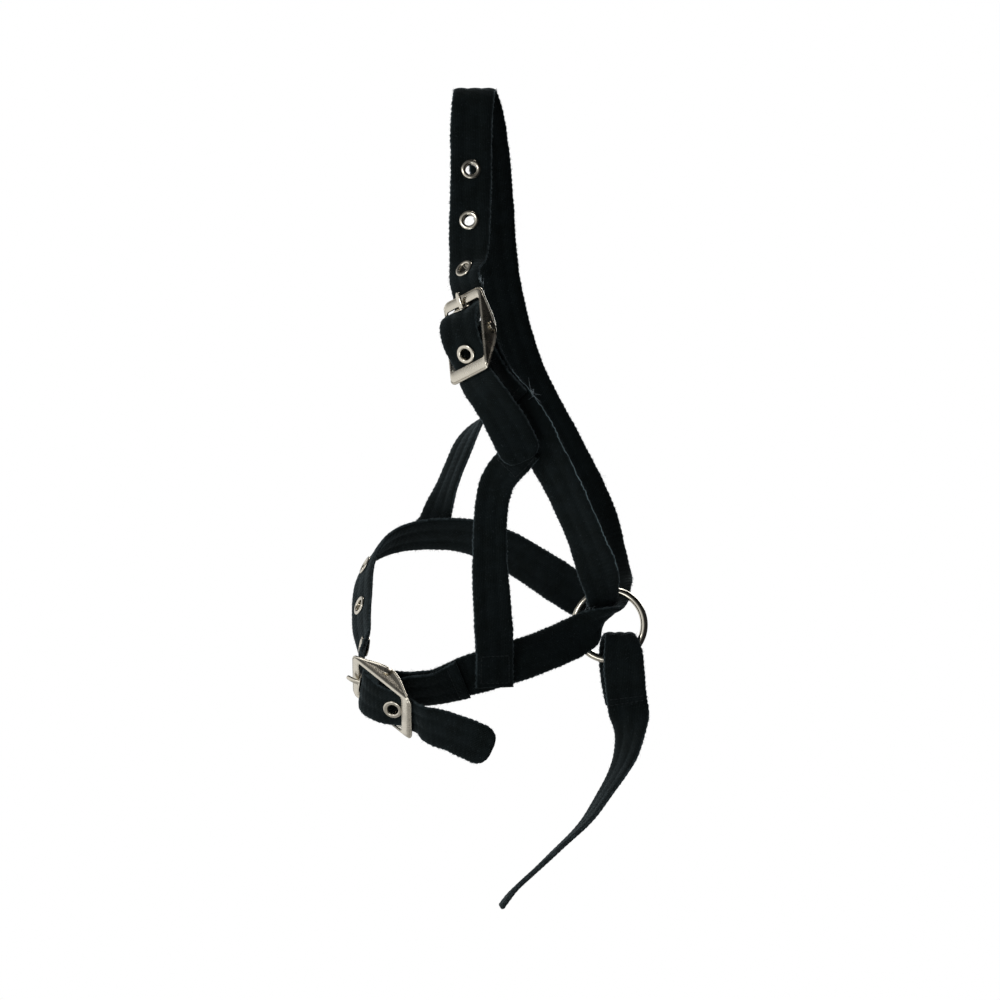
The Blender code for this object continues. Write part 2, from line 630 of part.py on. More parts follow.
# Neck strap of the off side: billet tip, buckle, crown, far side, chin ring, near noseband, nose chape.
neck_billet = billet_rows(NECK_SEAT)[:NECK_BILLET_TO]
nose_chape = chape_rows(NOSE_SEAT, NOSE_CHAPE_PITCH)
route_b = Route(list(reversed(BILLET_END_NECK)) + list(reversed(neck_billet)) + NECK_NEAR_UP + CROWN
                + NECK_FAR_DOWN + RING_PASS_B + NOSE_NEAR + list(reversed(nose_chape)))
flat = route_b.flatten_top(3.2, 4.8)

# Neck strap of the buckle side: neck chape, near side, chin ring, far noseband, nose buckle, billet tip.
neck_chape = chape_rows(NECK_SEAT, NECK_CHAPE_PITCH)
nose_billet = billet_rows(NOSE_SEAT)[NOSE_BILLET_FROM:]
route_a = Route(neck_chape + NECK_NEAR_DOWN + RING_PASS_A + NOSE_FAR + nose_billet + BILLET_END_NOSE)

strap_b = build_strap("crown_nose_strap", route_b, WEBBING, round_start=True, exact=flat)
strap_a = build_strap("neck_muzzle_strap", route_a, WEBBING, round_end=True)
near_rows = seated_rows(CHEEK_NEAR, (route_a, 3, 1.5), (route_b, 3, 0.9))
far_rows = seated_rows(CHEEK_FAR, (route_b, 3, 1.5), (route_a, 2, 2.5))
near_cheek = build_strap("near_cheek_strap", Route(near_rows), WEBBING)
far_cheek = build_strap("far_cheek_strap", Route(far_rows), WEBBING)
lead = build_strap("lead_strap", Route(LEAD), WEBBING)
set_origin(lead, LEAD_PIVOT)

cut(strap_b, slot_cutter(NOSE_SEAT, NOSE_CHAPE_PITCH))
cut(strap_a, slot_cutter(NECK_SEAT, NECK_CHAPE_PITCH))

# Eyelets: one on each tongue, one below it on the billet, the rest up the strap.
neck_mid = route_b.length[route_b.nearest(neck_billet[EYELET_AT][:3])]
nose_mid = route_a.length[route_a.nearest(nose_billet[EYELET_AT - NOSE_BILLET_FROM][:3])]
for number, shift in enumerate((-1.0, 0.0, 1.0, 2.0, 3.0), start=1):
    place = route_b.frame(neck_mid + shift * EYELET_PITCH)
    cut(strap_b, eyelet_cutter(place))
    build_eyelet("neck_eyelet_%d" % number, place)
for number, shift in enumerate((1.0, 0.0, -1.0, -2.0, -3.0), start=1):
    place = route_a.frame(nose_mid + shift * EYELET_PITCH)
    cut(strap_a, eyelet_cutter(place))
    build_eyelet("nose_eyelet_%d" % number, place)

for label, seat in (("neck", NECK_SEAT), ("nose", NOSE_SEAT)):
    build_frame(label + "_buckle_frame", seat)
    build_bar(label + "_buckle_bar", seat)
    build_tongue(label + "_buckle_tongue", seat)

ring_profile = []
for k in range(8):
    turn = 2.0 * math.pi * k / 8
    ring_profile.append((RING_MEAN_R + RING_WIRE_R * math.cos(turn), RING_WIRE_R * math.sin(turn)))
ring_place = Matrix.Translation(Vector(RING_CENTRE) * MM) @ Matrix.Rotation(math.radians(90.0), 4, "X")
revolve("chin_ring", ring_profile, 40, NICKEL, ring_place)
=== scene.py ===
"""Looks of the head halter: woven straps, stitches, lint, plated buckles, eyelets and the chin ring.

Lengths are in millimetres, in the frame's own axes, until a mesh is made: +Z up, the muzzle towards -X,
the wearer's left side towards -Y.
"""
import math

import bmesh
import bpy
import numpy as np
from mathutils import Matrix, Vector


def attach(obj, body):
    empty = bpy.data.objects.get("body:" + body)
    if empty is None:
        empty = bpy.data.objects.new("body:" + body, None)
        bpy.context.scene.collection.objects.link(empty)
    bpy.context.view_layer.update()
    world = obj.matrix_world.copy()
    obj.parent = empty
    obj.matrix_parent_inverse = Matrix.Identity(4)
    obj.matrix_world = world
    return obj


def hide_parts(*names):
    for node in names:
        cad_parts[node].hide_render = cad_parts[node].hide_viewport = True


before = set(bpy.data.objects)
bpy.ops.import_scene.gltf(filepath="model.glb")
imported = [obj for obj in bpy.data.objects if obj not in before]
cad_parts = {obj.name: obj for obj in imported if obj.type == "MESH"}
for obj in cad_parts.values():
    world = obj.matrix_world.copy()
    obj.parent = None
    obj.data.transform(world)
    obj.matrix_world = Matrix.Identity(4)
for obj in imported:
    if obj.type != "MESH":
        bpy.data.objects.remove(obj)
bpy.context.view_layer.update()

MM = 0.001
SCENE = bpy.context.scene

# ---- driving sizes, mm
STRAP_WIDTH = 20.0
STRAP_THICK = 2.5
TIP_ROUND = 8.0
EYELET_PITCH = 25.0
LANES = 3
SCALLOP_PITCH = 2.5
STRAP_STEP = 0.5
ROUTE_STEP = 0.5
ACROSS_POINTS = 33

EYELET_OUTER_R = 4.7
EYELET_HOLE_R = 2.65
EYELET_BED_R = 3.45
EYELET_SEAT = 1.5

FRAME_HALF_W = 12.6
FRAME_OPEN_HALF_W = 10.9
FRAME_FRONT = 20.0
FRAME_OPEN_FRONT = 15.0
FRAME_BACK = -22.0
FRAME_OPEN_BACK = -16.2
FRAME_SHEET = 0.9
FRAME_FRONT_TOP = 4.0
FRAME_BACK_TOP = 7.3
FRAME_CORNER_R = 3.2
OPEN_CORNER_R = 1.6
BEAD_R = 0.6

BAR_R = 1.6
BAR_HALF_L = 13.0
HUB_R = 2.5
HUB_WIRE_R = 0.6
TONGUE_WIDTH = 3.1
TONGUE_THICK = 1.6
TONGUE_REACH = 22.0
TONGUE_TIP = 1.6
TONGUE_SIDES = 16
SLOT_R = 2.3

RING_MEAN_R = 16.5
RING_WIRE_R = 1.75
RING_CENTRE = (64.0, 0.0, -253.0)
CHAPE_LAYER = 3.0
NOSE_LAYER_REACH = 16.0
NECK_LAYER_REACH = 18.0
NOSE_SEWN = 5.0
NECK_SEWN = 3.5
LEAD_SEWN_FRONT = 10
BULGE_HALF = 10.0
BULGE_PAD = 3.4

THREAD_R = 0.2
STITCH_PITCH = 2.5
STITCH_GAP = 0.55
SEAM_IN = 2.2
HAIRS_PER_MM = 3.0
YARN = 0.8
PICK = 1.3

# ---- finishes
WEBBING_DEEP = (0.0008, 0.0022, 0.0022, 1.0)
WEBBING_BLUE = (0.0044, 0.0076, 0.0090, 1.0)
WEBBING_LIGHT = (0.0100, 0.0165, 0.0165, 1.0)
# pale blue-grey for the lint specks and for the painted rim highlight along the selvage
WEBBING_LINT_AND_RIM_HIGHLIGHT = (0.060, 0.082, 0.092, 1.0)
NICKEL_COLOR = (0.70, 0.655, 0.56, 1.0)


class Seat:
    """Local axes of a buckle: w across the strap, l towards the front bar, n out of the face."""

    def __init__(self, pivot, across, along):
        self.pivot = Vector(pivot)
        self.along = Vector(along).normalized()
        across = Vector(across)
        self.across = (across - across.dot(self.along) * self.along).normalized()
        self.out = self.across.cross(self.along).normalized()

    def point(self, l, n):
        return self.pivot + self.along * l + self.out * n

    def matrix(self):
        rot = Matrix((self.across, self.along, self.out)).transposed().to_4x4()
        return Matrix.Translation(self.pivot * MM) @ rot


NECK_SEAT = Seat((-0.8, -42.0, -116.0), (0.70, -0.62, 0.34), (-0.14, 0.36, 0.92))
NOSE_SEAT = Seat((-41.2, -36.0, -284.0), (-0.01, -0.655, 0.755), (-0.70, 0.54, 0.465))
NECK_CHAPE_PITCH = math.radians(30.0)
NOSE_CHAPE_PITCH = math.radians(52.0)

# Billet path through a buckle, as (l, n, lean in degrees): behind the front bar, over the pivot bar and
# under the keeper.
BILLET_PATH = [(30.0, -0.4, 0.0), (24.0, -1.0, 0.0), (18.4, -1.3, 1.0), (14.4, 0.3, 3.0), (11.7, 4.0, 6.0),
               (9.2, 7.2, 11.0), (5.4, 9.1, 14.0), (0.5, 9.5, 15.0), (-4.8, 8.7, 14.0), (-9.0, 6.8, 10.0),
               (-12.6, 4.8, 5.0), (-16.4, 3.7, 1.0), (-20.4, 3.4, 0.0), (-25.0, 3.0, 0.0)]
EYELET_AT = 4
NOSE_BILLET_FROM = 2
NECK_BILLET_TO = -1

# Chape path round the pivot bar, as (u, v): u runs away from the bar, v is the outer face.
CHAPE_PATH = [(20.0, 1.5), (16.0, 1.5), (12.0, 1.55), (7.0, 2.3), (2.6, 3.35), (0.0, 3.55), (-2.6, 2.5),
              (-3.6, 0.0), (-2.6, -2.5), (0.0, -3.55), (2.6, -3.35), (7.0, -2.3), (12.0, -1.55),
              (16.0, -1.5), (20.0, -1.5)]

# ---- strap routes, mm: x, y, z, width direction
BILLET_END_NECK = [
    (4.6, -56.6, -142.2, 0.76, -0.48, 0.44),
    (10.2, -57, -150.4, 0.8, -0.33, 0.5),
    (15, -56.2, -158.4, 0.84, -0.2, 0.52),
    (19.4, -54.4, -166.8, 0.85, -0.1, 0.52),
    (23.6, -52, -175.2, 0.86, -0.05, 0.5),
]
NECK_NEAR_UP = [
    (-3.6, -26.6, -82, 0.8, -0.45, 0.15),
    (-2.6, -21.8, -65, 0.95, -0.2, 0.04),
    (-2, -17.6, -47, 1, -0.05, 0),
    (-1.8, -13.2, -24, 1, 0, 0),
    (-1.5, -10.6, -10, 1, 0, 0),
    (-0.9, -8.6, -3.4, 1, 0, 0),
]
CROWN = [
    (-0.5, -6.2, 0.1, 1, 0, 0),
    (-0.2, -3.2, 1.22, 1, 0, 0),
    (0, 0, 1.25, 1, 0, 0),
    (0.2, 3.2, 1.22, 1, 0, 0),
    (0.5, 6.2, 0.1, 1, 0, 0),
]
NECK_FAR_DOWN = [
    (1.8, 8.6, -3.4, 1, 0, 0),
    (4.2, 11.5, -12, 1, 0.05, 0),
    (7, 17.5, -33, 1, 0.1, 0.03),
    (9.3, 25.5, -61, 1, 0.15, 0.05),
    (12, 33, -89, 0.97, 0.2, 0.1),
    (17.5, 39, -113, 0.95, 0.2, 0.2),
    (26, 42, -137, 0.9, 0.2, 0.35),
    (37, 42, -158.5, 0.88, 0.15, 0.45),
    (48.5, 39, -180, 0.88, 0.15, 0.42),
    (58, 33, -201, 0.9, 0.25, 0.35),
    (63, 25.5, -218, 0.86, 0.45, 0.25),
    (65.6, 18.5, -231, 0.82, 0.4, 0.35),
    (66.6, 12, -238, 0.8, 0.12, 0.55, 17),
    (66.6, 6, -244, 0.8, 0, 0.6, 15.4),
]
RING_PASS_B = [
    (64.4, 0, -247.8, 0.8, 0, 0.6, 15),
    (60.2, -5.6, -250.8, 0.5, -0.22, 0.84, 17),
    (53.4, -9.2, -255.4, -0.02, -0.15, 0.98, 19.5),
]
NOSE_NEAR = [
    (44, -14, -260.4, -0.34, -0.05, 0.94),
    (33, -20.5, -265, -0.33, -0.08, 0.94),
    (20, -27, -269.6, -0.3, -0.12, 0.95),
    (7.5, -31.5, -273.6, -0.26, -0.18, 0.95),
    (-3, -33.6, -276.6, -0.22, -0.24, 0.94),
]
CHEEK_NEAR = [
    (25, -45, -168.5, 0.8, -0.05, 0.55, 16),
    (21.5, -45.4, -172, 0.82, -0.05, 0.55, 16.5),
    (17.6, -45.8, -176.2, 0.86, 0, 0.5, 17),
    (12.4, -38, -182.2, 0.9, -0.24, 0.36, 17),
    (9, -37.2, -190.5, 0.97, -0.12, 0.2, 16.2),
    (7.5, -36.8, -201, 1, 0, 0.05, 16),
    (7, -36.6, -213, 1, 0, 0, 16.4),
    (7.3, -36.4, -228, 1, 0.05, 0, 17.5),
    (8.3, -36.2, -244, 1, 0.12, 0, 18.3),
    (9, -35.8, -257, 0.93, 0.22, 0, 18.8),
    (9.3, -35.6, -266, 0.83, 0.29, 0, 19),
    (9.4, -35, -273, 0.81, 0.28, 0, 19),
    (9.4, -34, -282.4, 0.81, 0.27, 0, 19),
]
NECK_NEAR_DOWN = [
    (25, -43.4, -156, 0.78, -0.32, 0.5),
    (32.4, -42, -170, 0.76, -0.38, 0.48),
    (40.2, -39, -184.5, 0.73, -0.46, 0.42),
    (47.6, -33, -200, 0.72, -0.5, 0.36),
    (53.8, -25, -214.5, 0.72, -0.5, 0.34),
    (58.4, -15.6, -228, 0.74, -0.4, 0.42),
    (60.4, -8.4, -237, 0.78, -0.15, 0.52, 17),
    (60.8, -3.7, -243.2, 0.8, 0, 0.6, 15.6),
]
RING_PASS_A = [
    (60, 0, -246, 0.8, 0, 0.6, 15),
    (57.2, 3.8, -245, 0.78, 0, 0.62, 16),
    (52.6, 6.2, -241.6, 0.66, 0.02, 0.74, 18.5),
]
NOSE_FAR = [
    (44, 11, -235.6, 0.52, 0.02, 0.85),
    (33, 19, -228.6, 0.5, -0.1, 0.84),
    (18, 27.5, -219.2, 0.42, -0.28, 0.84),
    (3, 33, -212.6, 0.28, -0.48, 0.8),
    (-12, 35.5, -210, 0.16, -0.6, 0.76),
    (-26, 34, -210.4, 0.18, -0.64, 0.72),
    (-40, 29, -213.8, 0.32, -0.64, 0.66),
    (-49.4, 21, -221.8, 0.44, -0.62, 0.62),
    (-53.2, 12, -232.2, 0.46, -0.62, 0.6),
    (-53.8, 3, -243, 0.46, -0.62, 0.6),
    (-53.6, -6, -253, 0.38, -0.64, 0.64),
    (-52.6, -15, -263.6, 0.18, -0.66, 0.72),
]
BILLET_END_NOSE = [
    (-22.5, -52.4, -299, 0.16, -0.55, 0.8),
    (-13, -55.6, -302.3, 0.28, -0.42, 0.86),
    (-4, -57.6, -305.8, 0.36, -0.3, 0.88),
    (3, -58.6, -308.9, 0.38, -0.25, 0.9),
    (8.2, -59.2, -311.4, 0.4, -0.22, 0.9),
]
CHEEK_FAR = [
    (28, 45.5, -135.5, 0.7, 0.2, 0.65, 15),
    (23.5, 45.5, -138.8, 0.66, 0.1, 0.72, 15.5),
    (18, 45.5, -143, 0.6, 0, 0.8, 16),
    (9.5, 42.8, -149.5, 0.6, -0.15, 0.75, 16),
    (1.5, 41.6, -157, 0.62, -0.45, 0.6, 17),
    (-4.2, 40.8, -165, 0.62, -0.65, 0.4, 18),
    (-8.6, 40.4, -174.5, 0.6, -0.74, 0.25, 18),
    (-12.4, 40.2, -184, 0.62, -0.74, 0.25, 18),
    (-16, 40, -193.5, 0.72, -0.6, 0.28, 17.5),
    (-18.6, 39.8, -201, 0.84, -0.35, 0.32, 17),
    (-20.6, 38.5, -208, 0.92, -0.12, 0.3, 17),
    (-21.8, 38, -213.5, 0.93, -0.08, 0.28, 17),
]
# Lead: the back layer of the sewn eye, the fold over the ring wire, then the front layer and the free end.
LEAD = [
    (71.6, 1.7, -289.5, 1, 0, 0, 19.4),
    (70.2, 3.3, -283, 1, 0, 0, 19.4),
    (68.6, 5.6, -273.5, 1, 0, 0, 19),
    (67.8, 6, -265.5, 1, 0, 0, 18.2),
    (68.1, 4, -259.4, 1, 0, 0, 15.8),
    (68.9, 0, -257.6, 1, 0, 0, 14.4),
    (69.5, -5, -259.6, 1, 0, 0, 15.8),
    (70.4, -7, -265.5, 1, 0, 0, 18.6),
    (70.9, -6.4, -273.5, 1, 0, 0, 19.4),
    (71.6, -3.3, -283, 1, 0, 0, 19.4),
    (72.4, -1.8, -290, 1, 0, 0, 19.6),
    (73.3, -1.4, -295.5, 0.97, -0.22, 0),
    (73.6, -0.9, -302, 0.8, -0.6, 0),
    (72.4, -0.3, -312, 0.62, -0.78, 0.06),
    (68, 0.2, -323, 0.5, -0.86, 0.16),
    (61.4, 0.4, -334, 0.42, -0.9, 0.2),
    (52.8, 0.5, -346.5, 0.36, -0.92, 0.24),
    (41.4, 0.5, -358, 0.33, -0.93, 0.28),
    (27, 0.5, -371.6, 0.3, -0.94, 0.3),
    (17.6, 0.4, -380.6, 0.28, -0.95, 0.3),
    (12.2, 0.4, -387.6, 0.28, -0.95, 0.3),
]


# ---- strap routes as curves
def natural_spline(knots, values):
    """Second derivatives of the natural cubic spline through the values."""
    count = len(knots)
    step = np.diff(knots)
    lhs = np.eye(count)
    rhs = np.zeros(values.shape)
    for i in range(1, count - 1):
        lhs[i, i - 1:i + 2] = step[i - 1], 2.0 * (step[i - 1] + step[i]), step[i]
        rhs[i] = 6.0 * ((values[i + 1] - values[i]) / step[i] - (values[i] - values[i - 1]) / step[i - 1])
    return np.linalg.solve(lhs, rhs)


def spline_at(knots, values, second, t):
    i = int(np.clip(np.searchsorted(knots, t) - 1, 0, len(knots) - 2))
    h = knots[i + 1] - knots[i]
    a = (knots[i + 1] - t) / h
    b = (t - knots[i]) / h
    curve = (a ** 3 - a) * second[i] + (b ** 3 - b) * second[i + 1]
    return a * values[i] + b * values[i + 1] + curve * h * h / 6.0


def unit(rows):
    return rows / np.linalg.norm(rows, axis=-1, keepdims=True)


def along_length(points):
    """Distance along a line of points to each of them."""
    return np.concatenate([[0.0], np.cumsum(np.linalg.norm(np.diff(points, axis=0), axis=1))])


class Route:
    """A strap's centre line with its width direction, sampled finely along its length."""

    def __init__(self, rows):
        rows = np.array([list(r) + [STRAP_WIDTH] * (7 - len(r)) for r in rows], dtype=float)
        knots = along_length(rows[:, :3])
        second = natural_spline(knots, rows)
        count = int(knots[-1] / ROUTE_STEP)
        data = np.array([spline_at(knots, rows, second, t) for t in np.linspace(0.0, knots[-1], count)])
        self.pos = data[:, :3]
        self.raw_across = data[:, 3:6]
        self.width = data[:, 6]
        self.settle()

    def settle(self):
        """Work out lengths and directions again from the positions."""
        self.tangent = unit(np.gradient(self.pos, axis=0))
        lean = np.sum(self.raw_across * self.tangent, axis=1)[:, None] * self.tangent
        self.across = unit(self.raw_across - lean)
        self.out = np.cross(self.across, self.tangent)
        self.length = along_length(self.pos)
        self.total = float(self.length[-1])

    def flatten_top(self, inside):
        """Level the crown fold over |y| < inside, where the halter hangs."""
        level = (self.pos[:, 2] > -5.0) & (np.abs(self.pos[:, 1]) < inside)
        self.pos[level, 2] = STRAP_THICK / 2.0
        self.settle()

    def nearest(self, point):
        """Length at the sample closest to a point."""
        return float(self.length[np.argmin(np.linalg.norm(self.pos - np.array(point), axis=1))])

    def at(self, s):
        """Position, across, along, out and width at one length or a list of them."""
        s = np.asarray(s, dtype=float)

        def read(rows):
            return np.stack([np.interp(s, self.length, rows[:, c]) for c in range(3)], axis=-1)

        across = unit(read(self.across))
        along = unit(read(self.tangent))
        width = np.interp(s, self.length, self.width)
        return read(self.pos), across, along, unit(np.cross(across, along)), width

    def matrix(self, s):
        pos, across, along, out, _ = self.at(s)
        rot = Matrix((across, along, out)).transposed().to_4x4()
        return Matrix.Translation(Vector(pos) * MM) @ rot


def seated_rows(rows, first, last):
    """Rows whose ends lie against the straps they are sewn to; first and last are (host, count, gap)."""
    done = [list(row) for row in rows]
    marks = [(k, first) for k in range(first[1])]
    marks += [(len(rows) - 1 - k, last) for k in range(last[1])]
    for k, (host, _, gap) in marks:
        point = np.array(rows[k][:3])
        across = np.array(rows[k][3:6])
        base, _, _, face, _ = host.at(host.nearest(point))
        away = float(np.dot(point - base, face))
        side = 1.0 if away > 0.0 else -1.0
        done[k][:3] = list(point - face * away + face * side * (STRAP_THICK + gap))
        done[k][3:6] = list(across - face * float(np.dot(across, face)))
    return done


def facing(route, s, toward):
    """The strap face, 1 or -1, that looks towards a direction at a length."""
    return math.copysign(1.0, float(np.dot(route.at(s)[3], toward)))


# ---- meshes
def make_object(name, verts, faces, material, body, node=None, matrix=None):
    """Object from millimetre vertices that rides on a body; node is the CAD node it stands for."""
    mesh = bpy.data.meshes.new(name)
    verts = np.asarray(verts, dtype=float) * MM
    mesh.from_pydata([tuple(v) for v in verts], [], [tuple(int(i) for i in f) for f in faces])
    bm = bmesh.new()
    bm.from_mesh(mesh)
    bmesh.ops.recalc_face_normals(bm, faces=bm.faces)
    bm.to_mesh(mesh)
    bm.free()
    if matrix is not None:
        mesh.transform(matrix)
    mesh.polygons.foreach_set("use_smooth", [True] * len(mesh.polygons))
    mesh.materials.append(material)
    obj = bpy.data.objects.new(name, mesh)
    SCENE.collection.objects.link(obj)
    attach(obj, body)
    if node:
        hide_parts(node)
    return obj


def make_joined(name, parts, material, body):
    """One object from many (vertices, faces) parts."""
    return make_object(name, *gather(parts), material, body)


def bridge(i, j, count, closed=True):
    """Quads between rings i and j of a mesh whose rings have count points each."""
    return [(i * count + k, i * count + (k + 1) % count, j * count + (k + 1) % count, j * count + k)
            for k in range(count if closed else count - 1)]


def wobble(s, seed, waves=((61.0, 0.5), (23.0, 0.3), (9.5, 0.2))):
    """A smooth irregular line between -1 and 1 along a strap."""
    return sum(size * np.sin(math.tau * s / period + 1.7 * seed + 2.3 * k)
               for k, (period, size) in enumerate(waves))


def scallop(s, seed):
    """The selvage's row of small bumps, from 0 in the nicks to 1."""
    bump = np.abs(np.sin(math.pi * s / SCALLOP_PITCH + 0.8 * wobble(s, seed + 5))) ** 0.8
    return bump * (0.75 + 0.25 * wobble(s, seed + 9, ((13.0, 0.6), (5.3, 0.4))))


class Strap:
    """Padded webbing with lengthwise lanes and a scalloped selvage, swept along a route.

    tips says if the (start, end) is cut round, holes are (first, last, radius) slots on the middle line,
    pinches are the lengths of stitch rows that pull the layers down, and pad is the (length, half length,
    depth, face) of a bulge along the edge at p = 1.
    """

    def __init__(self, name, route, seed, tips=(False, False), holes=(), pinches=(), pad=None):
        self.name = name
        self.route = route
        self.seed = seed
        self.tips, self.holes, self.pinches, self.pad = tips, holes, pinches, pad
        t = np.linspace(-1.0, 1.0, ACROSS_POINTS)
        self.lane_p = 0.6 * t + 0.4 * np.sin(t * math.pi / 2.0)

    def half_width(self, s, side):
        width = self.route.at(s)[4] / 2.0
        for tip, d in zip(self.tips, (s, self.route.total - s)):
            if tip:
                drop = np.clip((TIP_ROUND - d) / TIP_ROUND, 0.0, 1.0)
                width = width * (0.30 + 0.70 * np.sqrt(np.maximum(0.0, 1.0 - drop ** 2.2)))
        seed = self.seed + (3 if side > 0 else 0)
        width = width + 0.45 * self.padding(s)
        return width + 0.10 - 0.42 * (1.0 - scallop(s, seed)) + 0.22 * wobble(s, seed)

    def padding(self, s):
        if self.pad is None:
            return 0.0 * s
        near = np.clip(1.0 - ((s - self.pad[0]) / self.pad[1]) ** 2, 0.0, 1.0)
        return near ** 0.7

    def half_thick(self, s, p):
        """Half thickness of the webbing at a length and a place across it from -1 to 1."""
        puff = np.abs(np.cos(LANES * math.pi / 2.0 * p)) ** 0.6
        quilt = 1.0 + 0.05 * np.sin(math.tau * s / SCALLOP_PITCH + LANES * 2.0 * p + self.seed)
        shape = (0.66 + 0.36 * puff) * quilt
        edge = np.sqrt(np.maximum(0.0, 1.0 - np.abs(p) ** 9.0))
        ends = 1.0
        for d in (s, self.route.total - s):
            ends = ends * np.sqrt(1.0 - 0.85 * np.clip(1.0 - d / 1.1, 0.0, 1.0) ** 2)
        for place in self.pinches:
            ends = ends * (1.0 - 0.34 * np.exp(-((s - place) / 0.95) ** 2))
        return STRAP_THICK / 2.0 * shape * edge * ends

    def point(self, s, p, face=1.0):
        """Points on the strap's upper (face 1) or lower (face -1) surface."""
        s = np.asarray(s, dtype=float)
        p = np.asarray(p, dtype=float)
        pos, across, along, out, _ = self.route.at(s)
        width = np.where(p < 0.0, self.half_width(s, -1), self.half_width(s, 1))
        lift = face * self.half_thick(s, p) + 0.10 * wobble(s, self.seed + 2) * p
        if self.pad is not None and face == self.pad[3]:
            side = np.clip((p - 0.40) / 0.45, 0.0, 1.0)
            lift = lift + face * self.pad[2] * self.padding(s) * side * side * (3.0 - 2.0 * side)
        return pos + across * (p * width)[..., None] + out * lift[..., None]

    def build(self, material, body, node):
        count = int(self.route.total / STRAP_STEP) + 1
        s_line = np.linspace(0.0, self.route.total, count)
        s_grid, p_grid = np.meshgrid(s_line, self.lane_p, indexing="ij")
        n = ACROSS_POINTS
        upper = self.point(s_grid, p_grid, 1.0)
        lower = self.point(s_grid, p_grid, -1.0)[:, 1:-1][:, ::-1]
        grid = np.concatenate([upper, lower], axis=1)
        ring = grid.shape[1]
        width = (self.half_width(s_line, 1) + self.half_width(s_line, -1)) / 2.0
        across_mm = p_grid * width[:, None]
        around = np.concatenate([np.arange(n), np.arange(n - 2, 0, -1)])

        gone = self.cells_in_holes(s_line, across_mm)
        self.snap_to_holes(grid, gone, s_line, across_mm, around)
        column = np.minimum(around, np.roll(around, -1))
        faces = [quad for i in range(count - 1)
                 for k, quad in enumerate(bridge(i, i + 1, ring)) if not gone[i, column[k]]]
        faces += self.hole_walls(gone, ring, n)
        for i in (0, count - 1):
            for k in range(n - 1):
                low = [i * ring + (ring - j) % ring for j in (k, k + 1)]
                quad = [i * ring + k, i * ring + k + 1, low[1], low[0]]
                faces.append(tuple(dict.fromkeys(quad if k + 1 < n - 1 else quad[:2] + quad[3:])))
        obj = make_object(self.name, grid.reshape(-1, 3), faces, material, body, node)
        weave = obj.data.attributes.new("weave", "FLOAT_VECTOR", "POINT")
        data = np.stack([across_mm, s_grid, p_grid], axis=-1)[:, around]
        weave.data.foreach_set("vector", data.astype(np.float32).ravel())
        return obj

    def distance_to_hole(self, hole, s, a):
        first, last, radius = hole
        return np.hypot(s - np.clip(s, first, last), a) - radius

    def cells_in_holes(self, s_line, across_mm):
        s_mid = (s_line[:-1] + s_line[1:])[:, None] / 2.0
        a_mid = (across_mm[:-1, :-1] + across_mm[1:, 1:]) / 2.0
        gone = np.zeros(a_mid.shape, dtype=bool)
        for hole in self.holes:
            gone |= self.distance_to_hole(hole, s_mid, a_mid) < 0.0
        return gone

    def snap_to_holes(self, grid, gone, s_line, across_mm, around):
        """Slide the grid points round each hole onto its true outline."""
        count, ring = grid.shape[:2]
        near = np.zeros((count, across_mm.shape[1], 2), dtype=bool)
        for layer, cells in enumerate((gone, ~gone)):
            for i, k in zip(*np.nonzero(cells)):
                near[i:i + 2, k:k + 2, layer] = True
        for i, k in zip(*np.nonzero(near[..., 0] & near[..., 1])):
            s = s_line[i]
            a = across_mm[i, k]
            hole = min(self.holes, key=lambda h: abs(self.distance_to_hole(h, s, a)))
            centre = min(max(s, hole[0]), hole[1])
            ds = s - centre
            reach = max(math.hypot(ds, a), 0.01)
            pull = hole[2] / reach - 1.0
            _, across, along, _, _ = self.route.at(s)
            for j in np.nonzero(around == k)[0]:
                grid[i, j] += along * ds * pull + across * a * pull

    def hole_walls(self, gone, ring, n):
        walls = []
        for i, k in zip(*np.nonzero(gone)):
            sides = (((i, k), (i, k + 1), (i - 1, k)), ((i + 1, k), (i + 1, k + 1), (i + 1, k)),
                     ((i, k), (i + 1, k), (i, k - 1)), ((i, k + 1), (i + 1, k + 1), (i, k + 1)))
            for a, b, beside in sides:
                if not gone[beside]:
                    low = [r * ring + (ring - c) % ring for r, c in (b, a)]
                    walls.append((a[0] * ring + a[1], b[0] * ring + b[1], low[0], low[1]))
        return walls


# ---- thread, lint and fuzz
def tube(path, radii, sides):
    """Vertices and faces of a closed thin tube along points."""
    path = np.asarray(path, dtype=float)
    tangent = unit(np.gradient(path, axis=0))
    guide = np.array([0.31, 0.53, 0.79])
    x = unit(np.cross(tangent, guide))
    y = np.cross(tangent, x)
    turn = math.tau * np.arange(sides) / sides
    radii = np.broadcast_to(np.asarray(radii, dtype=float), len(path))
    ring = (x[:, None] * np.cos(turn)[None, :, None] + y[:, None] * np.sin(turn)[None, :, None])
    verts = (path[:, None] + ring * radii[:, None, None]).reshape(-1, 3)
    faces = []
    for i in range(len(path) - 1):
        faces += bridge(i, i + 1, sides)
    faces.append(tuple(range(sides))[::-1])
    faces.append(tuple(range(len(verts) - sides, len(verts))))
    return verts, faces


def gather(parts):
    """Joins (vertices, faces) pairs into one."""
    verts = []
    faces = []
    start = 0
    for v, f in parts:
        verts.append(v)
        faces += [tuple(i + start for i in face) for face in f]
        start += len(v)
    return np.concatenate(verts), faces


